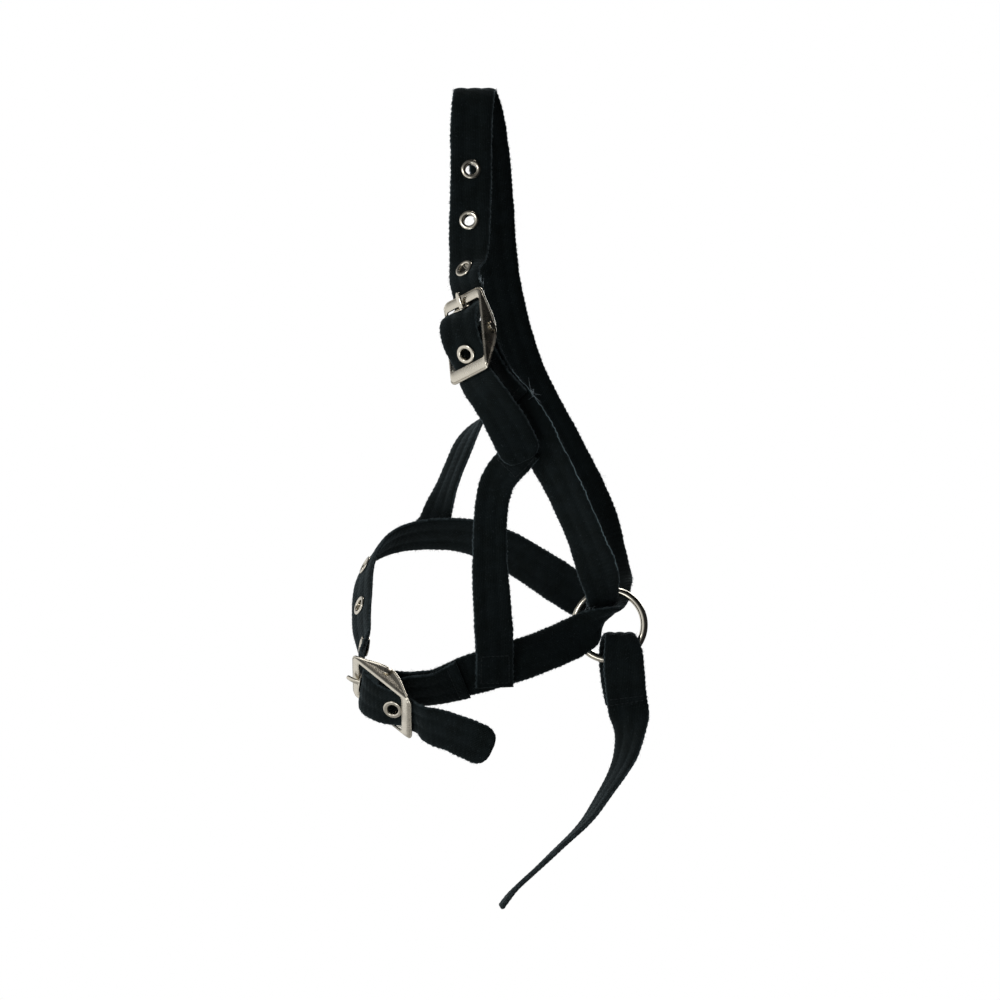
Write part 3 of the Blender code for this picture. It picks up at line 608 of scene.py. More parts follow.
def stitches(strap, line, face):
    """Thread stitches along a line of (length, place across) corners on a strap's face."""
    parts = []
    for (s0, p0), (s1, p1) in zip(line[:-1], line[1:]):
        run = math.hypot(s1 - s0, (p1 - p0) * STRAP_WIDTH / 2.0)
        count = max(1, round(run / STITCH_PITCH))
        for k in range(count):
            gap = STITCH_GAP / run / 2.0
            f = np.linspace(k / count + gap, (k + 1) / count - gap, 6)
            s = s0 + (s1 - s0) * f
            p = p0 + (p1 - p0) * f
            path = strap.point(s, p, face)
            out = strap.route.at(s)[3] * face
            rise = np.sin(np.linspace(0.0, math.pi, 6))
            path = path + out * (0.20 * rise - 0.12)[:, None]
            parts.append(tube(path, THREAD_R * (0.75 + 0.25 * rise), 6))
    return parts


def fibre(root, direction, curl, length, radius):
    """A bent hair from a root, thinning to its end."""
    t = np.linspace(0.0, 1.0, 4)[:, None]
    path = root + direction * length * t + curl * length * t ** 2
    return tube(path, radius * np.array([1.0, 0.9, 0.65, 0.25]), 3)


def selvage_fuzz(strap, rng, length):
    """Short hairs that stand off both selvages of a strap."""
    parts = []
    for side in (-1.0, 1.0):
        for _ in range(int(strap.route.total * HAIRS_PER_MM)):
            s = rng.uniform(0.5, strap.route.total - 0.5)
            _, across, along, out, _ = strap.route.at(s)
            p = side * rng.uniform(0.965, 1.0)
            root = strap.point(s, p, rng.choice([-1.0, 1.0]))
            aim = across * side + out * rng.normal(0, 0.7) + along * rng.normal(0, 0.8)
            curl = along * rng.normal(0, 0.6) + out * rng.normal(0, 0.5)
            size = length * rng.uniform(0.35, 1.0)
            parts.append(fibre(root, unit(aim), curl, size, rng.uniform(0.03, 0.05)))
    return parts


def nap(strap, rng, length):
    """Finer hairs lying over both faces of a strap."""
    parts = []
    for _ in range(int(strap.route.total * HAIRS_PER_MM)):
        s = rng.uniform(0.5, strap.route.total - 0.5)
        face = rng.choice([-1.0, 1.0])
        _, across, along, out, _ = strap.route.at(s)
        root = strap.point(s, rng.uniform(-0.95, 0.95), face)
        aim = out * face * 0.45 + across * rng.normal(0, 0.7) + along * rng.normal(0, 0.7)
        curl = -out * face * 0.35 + along * rng.normal(0, 0.4)
        size = length * rng.uniform(0.4, 1.0)
        parts.append(fibre(root, unit(aim), curl, size, rng.uniform(0.02, 0.035)))
    return parts


def tuft(strap, rng, s, p, count, length, spread, face=1.0):
    """A little bunch of frayed threads caught at one place."""
    parts = []
    for _ in range(count):
        place = s + rng.normal(0, spread)
        _, across, along, out, _ = strap.route.at(place)
        root = strap.point(place, np.clip(p + rng.normal(0, 0.04), -1.0, 1.0), face)
        aim = across * math.copysign(0.5, p) + out * face * rng.uniform(0.1, 0.8)
        aim = aim + along * rng.normal(0, 0.9)
        curl = across * rng.normal(0, 0.8) + along * rng.normal(0, 0.9)
        curl = curl + out * rng.normal(0, 0.3)
        size = length * rng.uniform(0.3, 1.0)
        parts.append(fibre(root, unit(aim), curl, size, rng.uniform(0.05, 0.09)))
    return parts


# ---- hardware
def revolve(profile, segments, closed=True):
    """Surface of revolution about local z from (radius, height) points."""
    turn = math.tau * np.arange(segments) / segments
    profile = np.asarray(profile, dtype=float)
    radius, height = profile[None, :, 0], np.repeat(profile[None, :, 1], segments, axis=0)
    verts = np.stack([radius * np.cos(turn)[:, None], radius * np.sin(turn)[:, None], height], axis=-1)
    faces = []
    for i in range(segments):
        faces += bridge(i, (i + 1) % segments, len(profile), closed)
    return verts.reshape(-1, 3), faces


def arc(centre, radius, start, end, count):
    """Points (a, b) on a circle from one angle to another, in degrees."""
    turn = np.radians(np.linspace(start, end, count))
    return [(centre[0] + radius * math.cos(a), centre[1] + radius * math.sin(a)) for a in turn]


def eyelet_profile():
    """Rolled flange above and below the strap, joined by the barrel."""
    mid = (EYELET_OUTER_R + EYELET_HOLE_R) / 2.0
    half = (EYELET_OUTER_R - EYELET_HOLE_R) / 2.0
    roll = [(mid + half * math.cos(a), EYELET_SEAT - 0.1 + 0.72 * math.sin(a) ** 0.8)
            for a in np.linspace(math.pi, 0.0, 15)]
    upper = [(EYELET_HOLE_R, 0.7)] + roll + [(EYELET_OUTER_R - 0.25, EYELET_SEAT - 0.22),
                                             (EYELET_BED_R - 0.2, EYELET_SEAT - 0.22)]
    return upper + [(r, -h) for r, h in reversed(upper)]


def rounded_rect(half_w, back, front, radius, inset):
    """Corner-rounded outline in (w, l), counter-clockwise, with matching points for every inset."""
    half_w -= inset
    back += inset
    front -= inset
    radius = max(radius - inset, 0.5)
    points = []
    corners = [(half_w - radius, front - radius, 0.0), (-half_w + radius, front - radius, 90.0),
               (-half_w + radius, back + radius, 180.0), (half_w - radius, back + radius, 270.0)]
    for index, (cw, cl, start) in enumerate(corners):
        points += arc((cw, cl), radius, start, start + 90.0, 9)
        ncw, ncl, nstart = corners[(index + 1) % 4]
        goal = np.array(arc((ncw, ncl), radius, nstart, nstart, 1)[0])
        last = np.array(points[-1])
        spans = 26 if index in (1, 3) else 16
        points += [tuple(last + (goal - last) * k / spans) for k in range(1, spans)]
    return np.array(points)


def frame_top(l):
    f = (l - FRAME_BACK) / (FRAME_FRONT - FRAME_BACK)
    return FRAME_BACK_TOP + (FRAME_FRONT_TOP - FRAME_BACK_TOP) * f


def flange_depth(l):
    """Depth of the side flange below the face: shallow at both ends, deepest beside the pivot bar."""
    front = np.clip((l + 1.0) / (FRAME_FRONT - 1.0), 0.0, 1.0)
    back = np.clip((-1.0 - l) / (-2.0 - FRAME_BACK), 0.0, 1.0)
    f = np.where(l > -1.0, front, back)
    return 1.7 + 6.6 * (0.5 + 0.5 * np.cos(math.pi * f)) ** 0.7


def frame_mesh():
    """Stamped keeper frame: domed face band, rounded shoulder, turned-down flange and a wide keeper plate."""
    shoulder = 1.25
    lip = 0.35

    def outer(inset):
        return rounded_rect(FRAME_HALF_W, FRAME_BACK, FRAME_FRONT, FRAME_CORNER_R, inset)

    def inner(inset):
        return rounded_rect(FRAME_OPEN_HALF_W, FRAME_OPEN_BACK, FRAME_OPEN_FRONT, OPEN_CORNER_R, -inset)

    rim = outer(0.0)
    top = frame_top(rim[:, 1])
    low = top - flange_depth(rim[:, 1])
    rings = []
    for a in np.radians([-80.0, -40.0, 0.0, 40.0, 80.0]):
        rings.append((outer(-BEAD_R * math.cos(a)), low + BEAD_R * (1.0 + math.sin(a))))
    rings += [(rim, low + BEAD_R * 2.0 + 0.08), (rim, low + 0.5 * (top - low)),
              (rim, low * 0.2 + (top - shoulder) * 0.8)]
    for a in np.radians([0.0, 22.5, 45.0, 67.5, 90.0]):
        line = outer(shoulder * (1.0 - math.cos(a)))
        rings.append((line, frame_top(line[:, 1]) - shoulder * (1.0 - math.sin(a)) + 0.12 * math.sin(a)))
    edge = inner(lip)
    shelf = outer(shoulder)
    for f, rise in ((0.35, 0.26), (0.7, 0.22)):
        line = shelf * (1.0 - f) + edge * f
        rings.append((line, frame_top(line[:, 1]) + rise))
    for a in np.radians([0.0, 30.0, 60.0, 90.0]):
        line = inner(lip * (1.0 - math.sin(a)))
        rings.append((line, frame_top(line[:, 1]) - lip * (1.0 - math.cos(a))))
    line = inner(0.0)
    shell = outer(FRAME_SHEET)
    rings += [(line, frame_top(line[:, 1]) - FRAME_SHEET), (shell, top - FRAME_SHEET - 0.35),
              (shell, low + 0.15), (outer(FRAME_SHEET * 0.7), low), (outer(FRAME_SHEET * 0.3), low)]
    verts = np.stack([np.column_stack([line, height]) for line, height in rings], axis=1)
    count, per = verts.shape[:2]
    faces = []
    for i in range(count):
        faces += bridge(i, (i + 1) % count, per)
    return verts.reshape(-1, 3), faces


def tongue_mesh():
    """Tongue: an eye round the pivot bar and a flat rounded arm bent down a little over the front bar."""
    rest_l = FRAME_OPEN_FRONT
    rest_n = frame_top(rest_l) + 0.4 + TONGUE_THICK / 2.0
    lift = math.atan2(rest_n, rest_l)
    arm = np.array([math.cos(lift), math.sin(lift)])
    up = np.array([-arm[1], arm[0]])
    start = HUB_R - 0.3
    round_end = 1.0 - np.sin(np.linspace(0.25, math.pi / 2, 7))
    reach = np.concatenate([np.linspace(start, TONGUE_REACH - TONGUE_TIP, 26),
                            TONGUE_REACH - TONGUE_TIP * round_end])
    turn = math.tau * np.arange(TONGUE_SIDES) / TONGUE_SIDES
    verts = []
    for u in reach:
        tip = np.clip((u - (TONGUE_REACH - TONGUE_TIP)) / TONGUE_TIP, 0.0, 1.0)
        taper = 1.0 - 0.16 * (u - start) / (TONGUE_REACH - start)
        close = max(0.12, math.sqrt(max(0.0, 1.0 - tip ** 2)))
        half_w = TONGUE_WIDTH / 2.0 * taper * close
        half_t = TONGUE_THICK / 2.0 * (0.35 + 0.65 * close)
        sag = -0.45 * np.clip((u - rest_l) / 4.0, 0.0, 1.5) ** 2
        for a in turn:
            w = half_w * math.copysign(abs(math.cos(a)) ** 0.7, math.cos(a))
            h = half_t * math.copysign(abs(math.sin(a)) ** 0.85, math.sin(a))
            spot = arm * u + up * (h + sag)
            verts.append((w, spot[0], spot[1]))
    faces = []
    for i in range(len(reach) - 1):
        faces += bridge(i, i + 1, TONGUE_SIDES)
    faces.append(tuple(range(TONGUE_SIDES)))
    faces.append(tuple(range(len(verts) - TONGUE_SIDES, len(verts))))
    half_w = TONGUE_WIDTH / 2.0
    wire = [(HUB_R + HUB_WIRE_R * math.cos(a), half_w * math.copysign(abs(math.sin(a)) ** 0.6, math.sin(a)))
            for a in np.linspace(0.0, math.tau, 21)[:-1]]
    hub, hub_faces = revolve(wire, 40)
    hub = hub[:, [2, 0, 1]]
    return gather([(np.array(verts), faces), (hub, hub_faces)])


def bar_mesh():
    """Pivot bar with small upset heads outside the flanges, along local x."""
    end = BAR_HALF_L + 0.55
    half = [(0.02, end)] + arc((1.75, end - 0.3), 0.3, 90.0, 0.0, 5) + [(2.05, BAR_HALF_L - 0.02)]
    half += [(BAR_R, BAR_HALF_L - 0.1), (BAR_R, 0.0)]
    profile = half + [(r, -h) for r, h in reversed(half[:-1])]
    verts, faces = revolve(profile, 40, closed=False)
    return verts[:, [2, 0, 1]], faces


# ---- materials
class Tree:
    """A material's or the world's node tree, with short names for building it."""

    def __init__(self, owner, shader):
        owner.use_nodes = True
        self.tree = owner.node_tree
        self.shader = self.tree.nodes[shader]

    def feed(self, node, inputs):
        """Set a node's inputs, or link those whose value is another node's output."""
        for key, value in inputs.items():
            if isinstance(value, bpy.types.NodeSocket):
                self.tree.links.new(value, node.inputs[key])
            else:
                node.inputs[key].default_value = value

    def put(self, socket, value):
        self.feed(self.shader, {socket: value})

    def node(self, kind, inputs=None, **settings):
        made = self.tree.nodes.new(kind)
        for key, value in settings.items():
            setattr(made, key, value)
        self.feed(made, inputs or {})
        return made

    def maths(self, operation, a, b=0.0):
        return self.node("ShaderNodeMath", {0: a, 1: b}, operation=operation).outputs[0]

    def ramp(self, value, low, high, to_low=0.0, to_high=1.0):
        inputs = {"Value": value, "From Min": low, "From Max": high, "To Min": to_low, "To Max": to_high}
        return self.node("ShaderNodeMapRange", inputs, interpolation_type="SMOOTHSTEP").outputs["Result"]

    def coords(self, output):
        return self.node("ShaderNodeTexCoord").outputs[output]


class Nodes(Tree):
    """A material and its node tree."""

    def __init__(self, name, color, metallic, roughness):
        self.material = bpy.data.materials.new(name)
        super().__init__(self.material, "Principled BSDF")
        self.material.diffuse_color = color
        self.put("Base Color", color)
        self.put("Metallic", metallic)
        self.put("Roughness", roughness)

    def mix(self, factor, a, b):
        return self.node("ShaderNodeMix", {0: factor, 6: a, 7: b}, data_type="RGBA").outputs[2]

    def noise(self, coords, scale, detail=3.0, rough=0.55):
        inputs = {"Vector": coords, "Scale": scale, "Detail": detail, "Roughness": rough}
        return self.node("ShaderNodeTexNoise", inputs).outputs["Fac"]

    def bump(self, *layers):
        """Stack (height, distance in mm, strength) layers into the shader's normal."""
        last = None
        for height, distance, strength in layers:
            inputs = {"Height": height, "Distance": distance * MM, "Strength": strength}
            if last is not None:
                inputs["Normal"] = last
            last = self.node("ShaderNodeBump", inputs).outputs["Normal"]
        self.put("Normal", last)


def webbing_material():
    """Soft black woven webbing: yarn ribs and picks, cloudy dye, lint specks, napped sheen and a painted rim
    highlight that makes the selvage paler.
    """
    m = Nodes("webbing_soft_black", (0.006, 0.009, 0.010, 1.0), 0.0, 0.88)
    weave = m.node("ShaderNodeAttribute", attribute_name="weave").outputs["Vector"]
    split = m.node("ShaderNodeSeparateXYZ", {"Vector": weave}).outputs
    coords = m.coords("Object")
    stray = m.maths("MULTIPLY", m.noise(coords, 260.0, 2.0), 0.5)
    column = m.maths("ADD", m.maths("DIVIDE", split["X"], YARN), stray)
    rib = m.maths("ABSOLUTE", m.maths("SINE", m.maths("MULTIPLY", column, math.pi)))
    stagger = m.maths("MULTIPLY", m.maths("FLOOR", column), 0.5)
    row = m.maths("ADD", m.maths("ADD", m.maths("DIVIDE", split["Y"], PICK), stagger), stray)
    knuckle = m.maths("ABSOLUTE", m.maths("SINE", m.maths("MULTIPLY", row, math.pi)))
    yarn = m.maths("MULTIPLY", rib, m.maths("ADD", m.maths("MULTIPLY", knuckle, 0.6), 0.4))
    cloud = m.noise(coords, 150.0, 5.0, 0.65)
    lint = m.noise(coords, 1400.0, 2.0, 0.7)
    # painted highlight: the outer tenth of each edge, broken up by noise, is mixed towards pale blue-grey in
    # place of the rim light the selvage catches
    selvage_highlight = m.ramp(m.maths("ABSOLUTE", split["Z"]), 0.90, 1.0)
    selvage_highlight = m.maths("MULTIPLY", selvage_highlight, m.ramp(m.noise(coords, 420.0, 3.0), 0.38, 0.62, 0.25, 0.85))
    dark = m.mix(m.ramp(cloud, 0.35, 0.65), WEBBING_DEEP, WEBBING_BLUE)
    lit = m.mix(m.maths("MULTIPLY", yarn, 0.55), dark, WEBBING_LIGHT)
    specks = m.mix(m.ramp(lint, 0.64, 0.76, 0.0, 0.6), lit, WEBBING_LINT_AND_RIM_HIGHLIGHT)
    m.put("Base Color", m.mix(selvage_highlight, specks, WEBBING_LINT_AND_RIM_HIGHLIGHT))
    m.put("Roughness", m.ramp(yarn, 0.0, 1.0, 0.95, 0.8))
    m.put("Specular IOR Level", 0.12)
    m.put("Sheen Weight", 0.24)
    m.put("Sheen Roughness", 0.38)
    m.put("Sheen Tint", (0.60, 0.78, 0.86, 1.0))
    m.bump((m.noise(coords, 330.0, 3.0), 0.22, 0.5), (yarn, 0.16, 0.8), (lint, 0.05, 0.4))
    return m.material


def thread_material(name, color, roughness):
    """Spun thread with a fine twist."""
    m = Nodes(name, color, 0.0, roughness)
    coords = m.coords("Object")
    twist = m.node("ShaderNodeTexWave", {"Vector": coords, "Scale": 900.0, "Distortion": 3.0},
                   bands_direction="DIAGONAL").outputs["Fac"]
    pale = tuple(min(1.0, c * 1.7) for c in color[:3]) + (1.0,)
    m.put("Base Color", m.mix(m.maths("MULTIPLY", twist, 0.6), color, pale))
    m.put("Specular IOR Level", 0.2)
    m.put("Sheen Weight", 0.25)
    m.put("Sheen Tint", (0.7, 0.85, 0.92, 1.0))
    m.bump((twist, 0.05, 0.6))
    return m.material


def nickel_material(name, low, high, brush):
    """Warm nickel plate: cloudy polish, fine hairline scratches and a few dull handling marks."""
    m = Nodes(name, NICKEL_COLOR, 1.0, low)
    coords = m.coords("Object")
    long = m.node("ShaderNodeMapping", {"Vector": coords, "Scale": brush}).outputs["Vector"]
    hair = m.noise(long, 1500.0, 2.0, 0.7)
    cloud = m.noise(coords, 160.0, 4.0)
    marks = m.ramp(m.noise(coords, 700.0, 2.0), 0.60, 0.72)
    polish = m.ramp(m.maths("ADD", m.maths("MULTIPLY", cloud, 0.7), m.maths("MULTIPLY", hair, 0.3)),
                    0.35, 0.65, low, high)
    m.put("Roughness", m.maths("ADD", polish, m.maths("MULTIPLY", marks, 0.08)))
    dull = tuple(c * 0.80 for c in NICKEL_COLOR[:3]) + (1.0,)
    m.put("Base Color", m.mix(m.maths("MULTIPLY", m.ramp(cloud, 0.45, 0.75), 0.5), NICKEL_COLOR, dull))
    m.bump((hair, 0.012, 0.35), (cloud, 0.03, 0.25))
    return m.material


# ---- strap ends at the buckles
def billet_rows(seat):
    """Route rows of a billet through a buckle, leaning towards the side at +w where it bulges."""
    rows = []
    for l, n, lean in BILLET_PATH:
        angle = math.radians(lean)
        across = seat.across * math.cos(angle) - seat.out * math.sin(angle)
        rows.append(tuple(seat.point(l, n)) + tuple(across))
    return rows


def fold_axes(seat, pitch):
    """Directions away from the bar and out of the face of a fold pitched below the buckle's plane."""
    away = -seat.along * math.cos(pitch) - seat.out * math.sin(pitch)
    face = -seat.along * math.sin(pitch) + seat.out * math.cos(pitch)
    return away, face


def chape_rows(seat, pitch):
    """Route rows of a strap's end folded round the bar."""
    away, face = fold_axes(seat, pitch)
    points = [seat.pivot + away * u + face * v for u, v in CHAPE_PATH]
    return [tuple(p) + tuple(seat.across) for p in points]


def laid_rows(route, chape, step, reach):
    """Rows of the folded end where it lies on its own strap, from the fold outwards."""
    s0 = route.nearest(chape[-1][:3])
    side = facing(route, s0, np.array(chape[0][:3]) - np.array(chape[-1][:3]))
    rows = []
    for d in np.linspace(0.0, reach, 5)[1:]:
        pos, across, _, out, width = route.at(s0 + step * d)
        rows.append(tuple(pos + out * side * CHAPE_LAYER) + tuple(across) + (float(width),))
    return rows


def fold_slot(route, seat, pitch):
    """(first, last, radius) of the slot that lets the tongue's eye through the fold."""
    away, face = fold_axes(seat, pitch)
    ends = sorted(route.nearest(seat.pivot + away * 3.2 + face * v) for v in (3.2, -3.2))
    return (ends[0], ends[1], SLOT_R)


def box_stitch(strap, start_box, end_box, reach, toward):
    """A rectangle of stitches at each end of a strap, up to start_box and end_box mm in."""
    total = strap.route.total
    parts = []
    for first, last in ((SEAM_IN, start_box), (total - end_box, total - SEAM_IN)):
        line = [(first, -reach), (last, -reach), (last, reach), (first, reach), (first, -reach)]
        parts += stitches(strap, line, facing(strap.route, (first + last) / 2.0, toward))
    return parts


def cross_stitch(strap, toward, *places):
    """Rows of stitches straight across a strap, on the face that looks towards a direction."""
    parts = []
    for s in places:
        parts += stitches(strap, [(s, -0.86), (s, 0.86)], facing(strap.route, s, toward))
    return parts


# ---- build: the straps
WEBBING = webbing_material()
THREAD = thread_material("webbing_thread", (0.0028, 0.0045, 0.0050, 1.0), 0.7)
FUZZ = thread_material("webbing_fuzz", (0.050, 0.068, 0.078, 1.0), 0.9)
# pale colour for the painted highlight line along the near neck strap's front edge
EDGE_HIGHLIGHT_YARN = thread_material("webbing_edge_highlight_yarn", (0.20, 0.28, 0.31, 1.0), 0.9)
LINT = thread_material("webbing_lint", (0.42, 0.50, 0.54, 1.0), 0.9)
SATIN = nickel_material("nickel_satin", 0.20, 0.34, (1.0, 0.15, 1.0))
POLISHED = nickel_material("nickel_polished", 0.10, 0.20, (1.0, 1.0, 0.3))
NEAR = (0.0, -1.0, 0.0)
FAR = (0.0, 1.0, 0.0)

neck_billet = billet_rows(NECK_SEAT)[:NECK_BILLET_TO]
nose_billet = billet_rows(NOSE_SEAT)[NOSE_BILLET_FROM:]
neck_chape = chape_rows(NECK_SEAT, NECK_CHAPE_PITCH)
nose_chape = chape_rows(NOSE_SEAT, NOSE_CHAPE_PITCH)

# Strap B: neck billet, crown, far neck, chin ring, near noseband, nose buckle and its folded end.
rows_b = (BILLET_END_NECK[::-1] + neck_billet[::-1] + NECK_NEAR_UP + CROWN + NECK_FAR_DOWN
          + RING_PASS_B + NOSE_NEAR + nose_chape[::-1])
route_b = Route(rows_b + laid_rows(Route(rows_b), nose_chape, -1.0, NOSE_LAYER_REACH))
route_b.flatten_top(3.2)

# Strap A: folded end, neck buckle, near neck, chin ring, far noseband, nose buckle and the nose billet.
rows_a = neck_chape + NECK_NEAR_DOWN + RING_PASS_A + NOSE_FAR + nose_billet + BILLET_END_NOSE
route_a = Route(laid_rows(Route(rows_a), neck_chape, 1.0, NECK_LAYER_REACH)[::-1] + rows_a)

near_route = Route(seated_rows(CHEEK_NEAR, (route_a, 3, 1.5), (route_b, 3, 0.9)))
far_route = Route(seated_rows(CHEEK_FAR, (route_b, 3, 1.5), (route_a, 2, 2.5)))
lead_route = Route(LEAD)

neck_mid = route_b.nearest(neck_billet[EYELET_AT][:3])
nose_mid = route_a.nearest(nose_billet[EYELET_AT - NOSE_BILLET_FROM][:3])
neck_eyelets = [neck_mid + k * EYELET_PITCH for k in range(-1, 4)]
nose_eyelets = [nose_mid - k * EYELET_PITCH for k in range(-1, 4)]

neck_under = -facing(route_b, neck_mid, NECK_SEAT.out)
nose_under = -facing(route_a, nose_mid, NOSE_SEAT.out)
sewn_b = route_b.total - NOSE_SEWN
under_b = route_b.nearest(NOSE_NEAR[-1][:3])
lead_front = lead_route.nearest(LEAD[LEAD_SEWN_FRONT][:3])

strap_b = Strap("neck_and_near_muzzle_webbing", route_b, 1, (True, False),
                [(s, s, EYELET_BED_R) for s in neck_eyelets]
                + [fold_slot(route_b, NOSE_SEAT, NOSE_CHAPE_PITCH)], (sewn_b, under_b),
                (neck_mid - 5.0, BULGE_HALF, BULGE_PAD, neck_under))
strap_a = Strap("neck_and_far_muzzle_webbing", route_a, 2, (False, True),
                [(s, s, EYELET_BED_R) for s in nose_eyelets]
                + [fold_slot(route_a, NECK_SEAT, NECK_CHAPE_PITCH)], (NECK_SEWN,),
                (nose_mid + 5.0, BULGE_HALF, BULGE_PAD, nose_under))
near_cheek = Strap("near_cheek_webbing", near_route, 3, pinches=(SEAM_IN, near_route.total - SEAM_IN))
far_cheek = Strap("far_cheek_webbing", far_route, 4, pinches=(SEAM_IN, far_route.total - SEAM_IN))
lead = Strap("lead_webbing", lead_route, 5, pinches=(2.0, lead_front))

STRAPS = ((strap_b, "halter", "crown_nose_strap"), (strap_a, "halter", "neck_muzzle_strap"),
          (near_cheek, "halter", "near_cheek_strap"), (far_cheek, "halter", "far_cheek_strap"),
          (lead, "lead", "lead_strap"))
rng = np.random.default_rng(7)
for strap, body, node in STRAPS:
    strap.build(WEBBING, body, node)
    hairs = selvage_fuzz(strap, rng, 1.1) + nap(strap, rng, 1.0)
    make_joined(strap.name + "_fuzz", hairs, FUZZ, body)

SEAMS = (
    ("near_cheek_seams", box_stitch(near_cheek, 15.0, 15.0, 0.74, NEAR), "halter"),
    ("far_cheek_seams", box_stitch(far_cheek, 13.0, 12.0, 0.72, FAR), "halter"),
    ("nose_buckle_seam", cross_stitch(strap_b, NEAR, sewn_b) + cross_stitch(strap_b, FAR, under_b)
     + cross_stitch(strap_b, NEAR, sewn_b - 22.0), "halter"),
    ("neck_buckle_seam", cross_stitch(strap_a, NEAR, NECK_SEWN, NECK_SEWN + 20.0), "halter"),
    ("lead_seam", cross_stitch(lead, NEAR, lead_front, lead_front - 2.6)
     + cross_stitch(lead, FAR, 2.0, 4.6), "lead"),
)
for name, parts, body in SEAMS:
    make_joined(name, parts, THREAD, body)

# Lint and frayed threads where the webbing is worn: (strap, near point, place across, count, length, spread).
FRAYS = (
    (strap_b, (8.0, -25.0, -92.0), 1.0, 10, 3.0, 2.0),
    (strap_a, (30.0, -45.0, -142.0), 1.0, 16, 3.2, 1.6),
    (strap_a, (60.0, -4.0, -243.0), -1.0, 18, 3.4, 3.0),
    (strap_a, (54.0, 5.0, -243.0), 1.0, 14, 3.0, 2.4),
    (strap_b, (52.0, 38.0, -186.0), 1.0, 6, 2.0, 1.5),
    (near_cheek, (8.5, -36.0, -250.0), 1.0, 6, 1.8, 1.2),
)
for number, (strap, point, p, count, length, spread) in enumerate(FRAYS, start=1):
    s = strap.route.nearest(point)
    threads = tuft(strap, rng, s, p, count, length, spread, facing(strap.route, s, NEAR))
    make_joined("fray_%d" % number, threads, LINT, "halter")

# A pale thin tube down the front edge of the near neck strap: a painted highlight line where that edge
# catches the light.
edge_from = strap_a.route.nearest((25.0, -43.4, -156.0)) - 24.0
edge_to = strap_a.route.nearest((58.4, -15.6, -228.0))
edge_line = np.arange(edge_from, edge_to, 0.8)
edge_face = facing(route_a, edge_from + 20.0, NEAR)
edge_p = 0.985 + 0.02 * wobble(edge_line, 4, ((17.0, 0.6), (6.1, 0.5), (2.7, 0.3)))
edge_path = strap_a.point(edge_line, edge_p, edge_face)
edge_thin = 0.17 * (0.75 + 0.35 * wobble(edge_line, 6, ((29.0, 0.6), (7.7, 0.4))))
make_object("neck_edge_highlight_line", *tube(edge_path, edge_thin, 5), EDGE_HIGHLIGHT_YARN, "halter")

# ---- build: the hardware
for label, seat in (("neck", NECK_SEAT), ("nose", NOSE_SEAT)):
    for part, mesh, finish, body in (("frame", frame_mesh(), SATIN, "halter"),
                                     ("bar", bar_mesh(), POLISHED, "halter"),
                                     ("tongue", tongue_mesh(), POLISHED, label + "_tongue")):
        make_object("%s_%s_plated" % (label, part), *mesh, finish, body,
                    "%s_buckle_%s" % (label, part), seat.matrix())

eyelet = revolve(eyelet_profile(), 48)
for label, route, places in (("neck", route_b, neck_eyelets), ("nose", route_a, nose_eyelets)):
    for number, s in enumerate(places, start=1):
        node = "%s_eyelet_%d" % (label, number)
        make_object(node + "_rolled", *eyelet, POLISHED, "halter", node, route.matrix(s))

wire = [(RING_MEAN_R + RING_WIRE_R * math.cos(a), RING_WIRE_R * math.sin(a))
        for a in np.linspace(0.0, math.tau, 25)[:-1]]
ring_place = Matrix.Translation(Vector(RING_CENTRE) * MM) @ Matrix.Rotation(math.radians(90.0), 4, "X")
make_object("chin_ring_polished", *revolve(wire, 128), POLISHED, "ring", "chin_ring", ring_place)

# ---- stage
# Metres: the field is what the camera sees across at the halter.
FIELD = 0.476
CAMERA_AWAY = 5.0
CAMERA_X = 0.0119
CAMERA_Z = -0.1936
FLOOR_Z = -0.5
FLOOR_R = 0.34

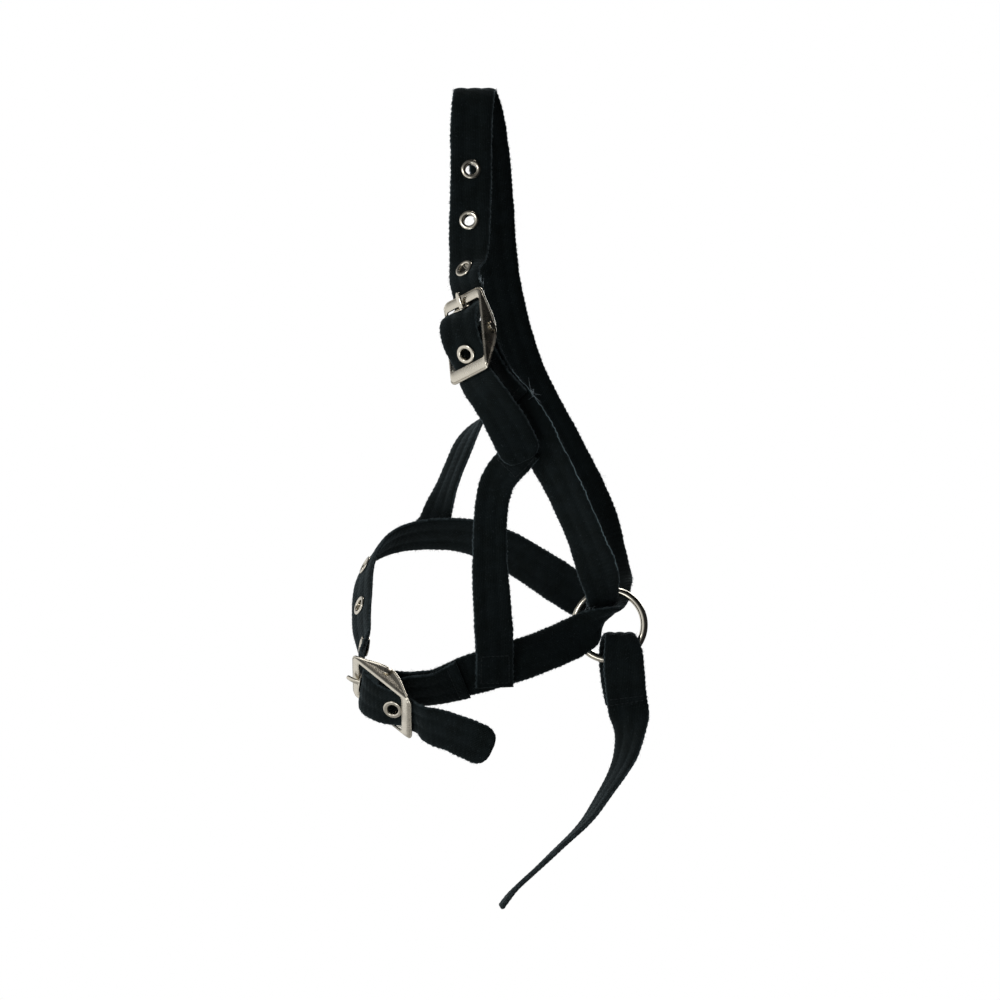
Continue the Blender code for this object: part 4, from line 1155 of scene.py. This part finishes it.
pale = Nodes("pale_floor", (0.86, 0.86, 0.85, 1.0), 0.0, 0.8)
speck = pale.noise(pale.coords("Object"), 40.0, 4.0)
pale.put("Roughness", pale.ramp(speck, 0.3, 0.7, 0.75, 0.9))
floor = bpy.data.objects.new("floor", bpy.data.meshes.new("floor"))
turn = np.linspace(0.0, math.tau, 97)[:-1]
rim = [(CAMERA_X + FLOOR_R * math.cos(a), FLOOR_R * math.sin(a), FLOOR_Z) for a in turn]
floor.data.from_pydata(rim, [], [tuple(range(len(rim)))])
floor.data.materials.append(pale.material)
SCENE.collection.objects.link(floor)


def area_light(name, place, size, power, color):
    data = bpy.data.lights.new(name, "AREA")
    data.shape = "DISK"
    data.size = size
    data.energy = power
    data.color = color
    lamp = bpy.data.objects.new(name, data)
    lamp.location = place
    aim = Vector((CAMERA_X, 0.0, CAMERA_Z)) - lamp.location
    lamp.rotation_euler = aim.to_track_quat("-Z", "Y").to_euler()
    lamp.visible_camera = False
    SCENE.collection.objects.link(lamp)


area_light("key", (-1.3, -2.0, 0.5), 0.7, 7.0, (1.0, 0.98, 0.95))
area_light("fill", (-0.4, -2.2, -1.6), 1.0, 7.0, (0.97, 1.0, 1.0))
area_light("top", (0.5, 0.6, 1.9), 0.9, 12.0, (1.0, 0.96, 0.92))
area_light("back", (0.7, 2.0, 0.7), 1.4, 22.0, (0.97, 0.99, 1.0))

# The backdrop is white to the eye, and what it sheds on the object falls off to the right and upwards.
SCENE.world = bpy.data.worlds.new("studio")
sky = Tree(SCENE.world, "Background")
way = sky.node("ShaderNodeSeparateXYZ", {0: sky.coords("Generated")}).outputs
shed = sky.maths("MULTIPLY", sky.ramp(way["X"], -0.75, 0.30, 0.85, 0.02),
                 sky.ramp(way["Z"], 0.22, 0.66, 1.0, 0.16))
seen = sky.node("ShaderNodeLightPath").outputs["Is Camera Ray"]
sky.put("Strength", sky.node("ShaderNodeMix", {0: seen, 2: shed, 3: 1.0}).outputs[0])
sky.put("Color", (1.0, 1.0, 1.0, 1.0))

lens = bpy.data.cameras.new("camera")
lens.sensor_width = 36.0
lens.lens = lens.sensor_width * CAMERA_AWAY / FIELD
lens.clip_end = 50.0
camera = bpy.data.objects.new("camera", lens)
camera.location = (CAMERA_X, -CAMERA_AWAY, CAMERA_Z)
camera.rotation_euler = (math.radians(90.0), 0.0, 0.0)
SCENE.collection.objects.link(camera)
SCENE.camera = camera
SCENE.view_settings.view_transform = "Standard"
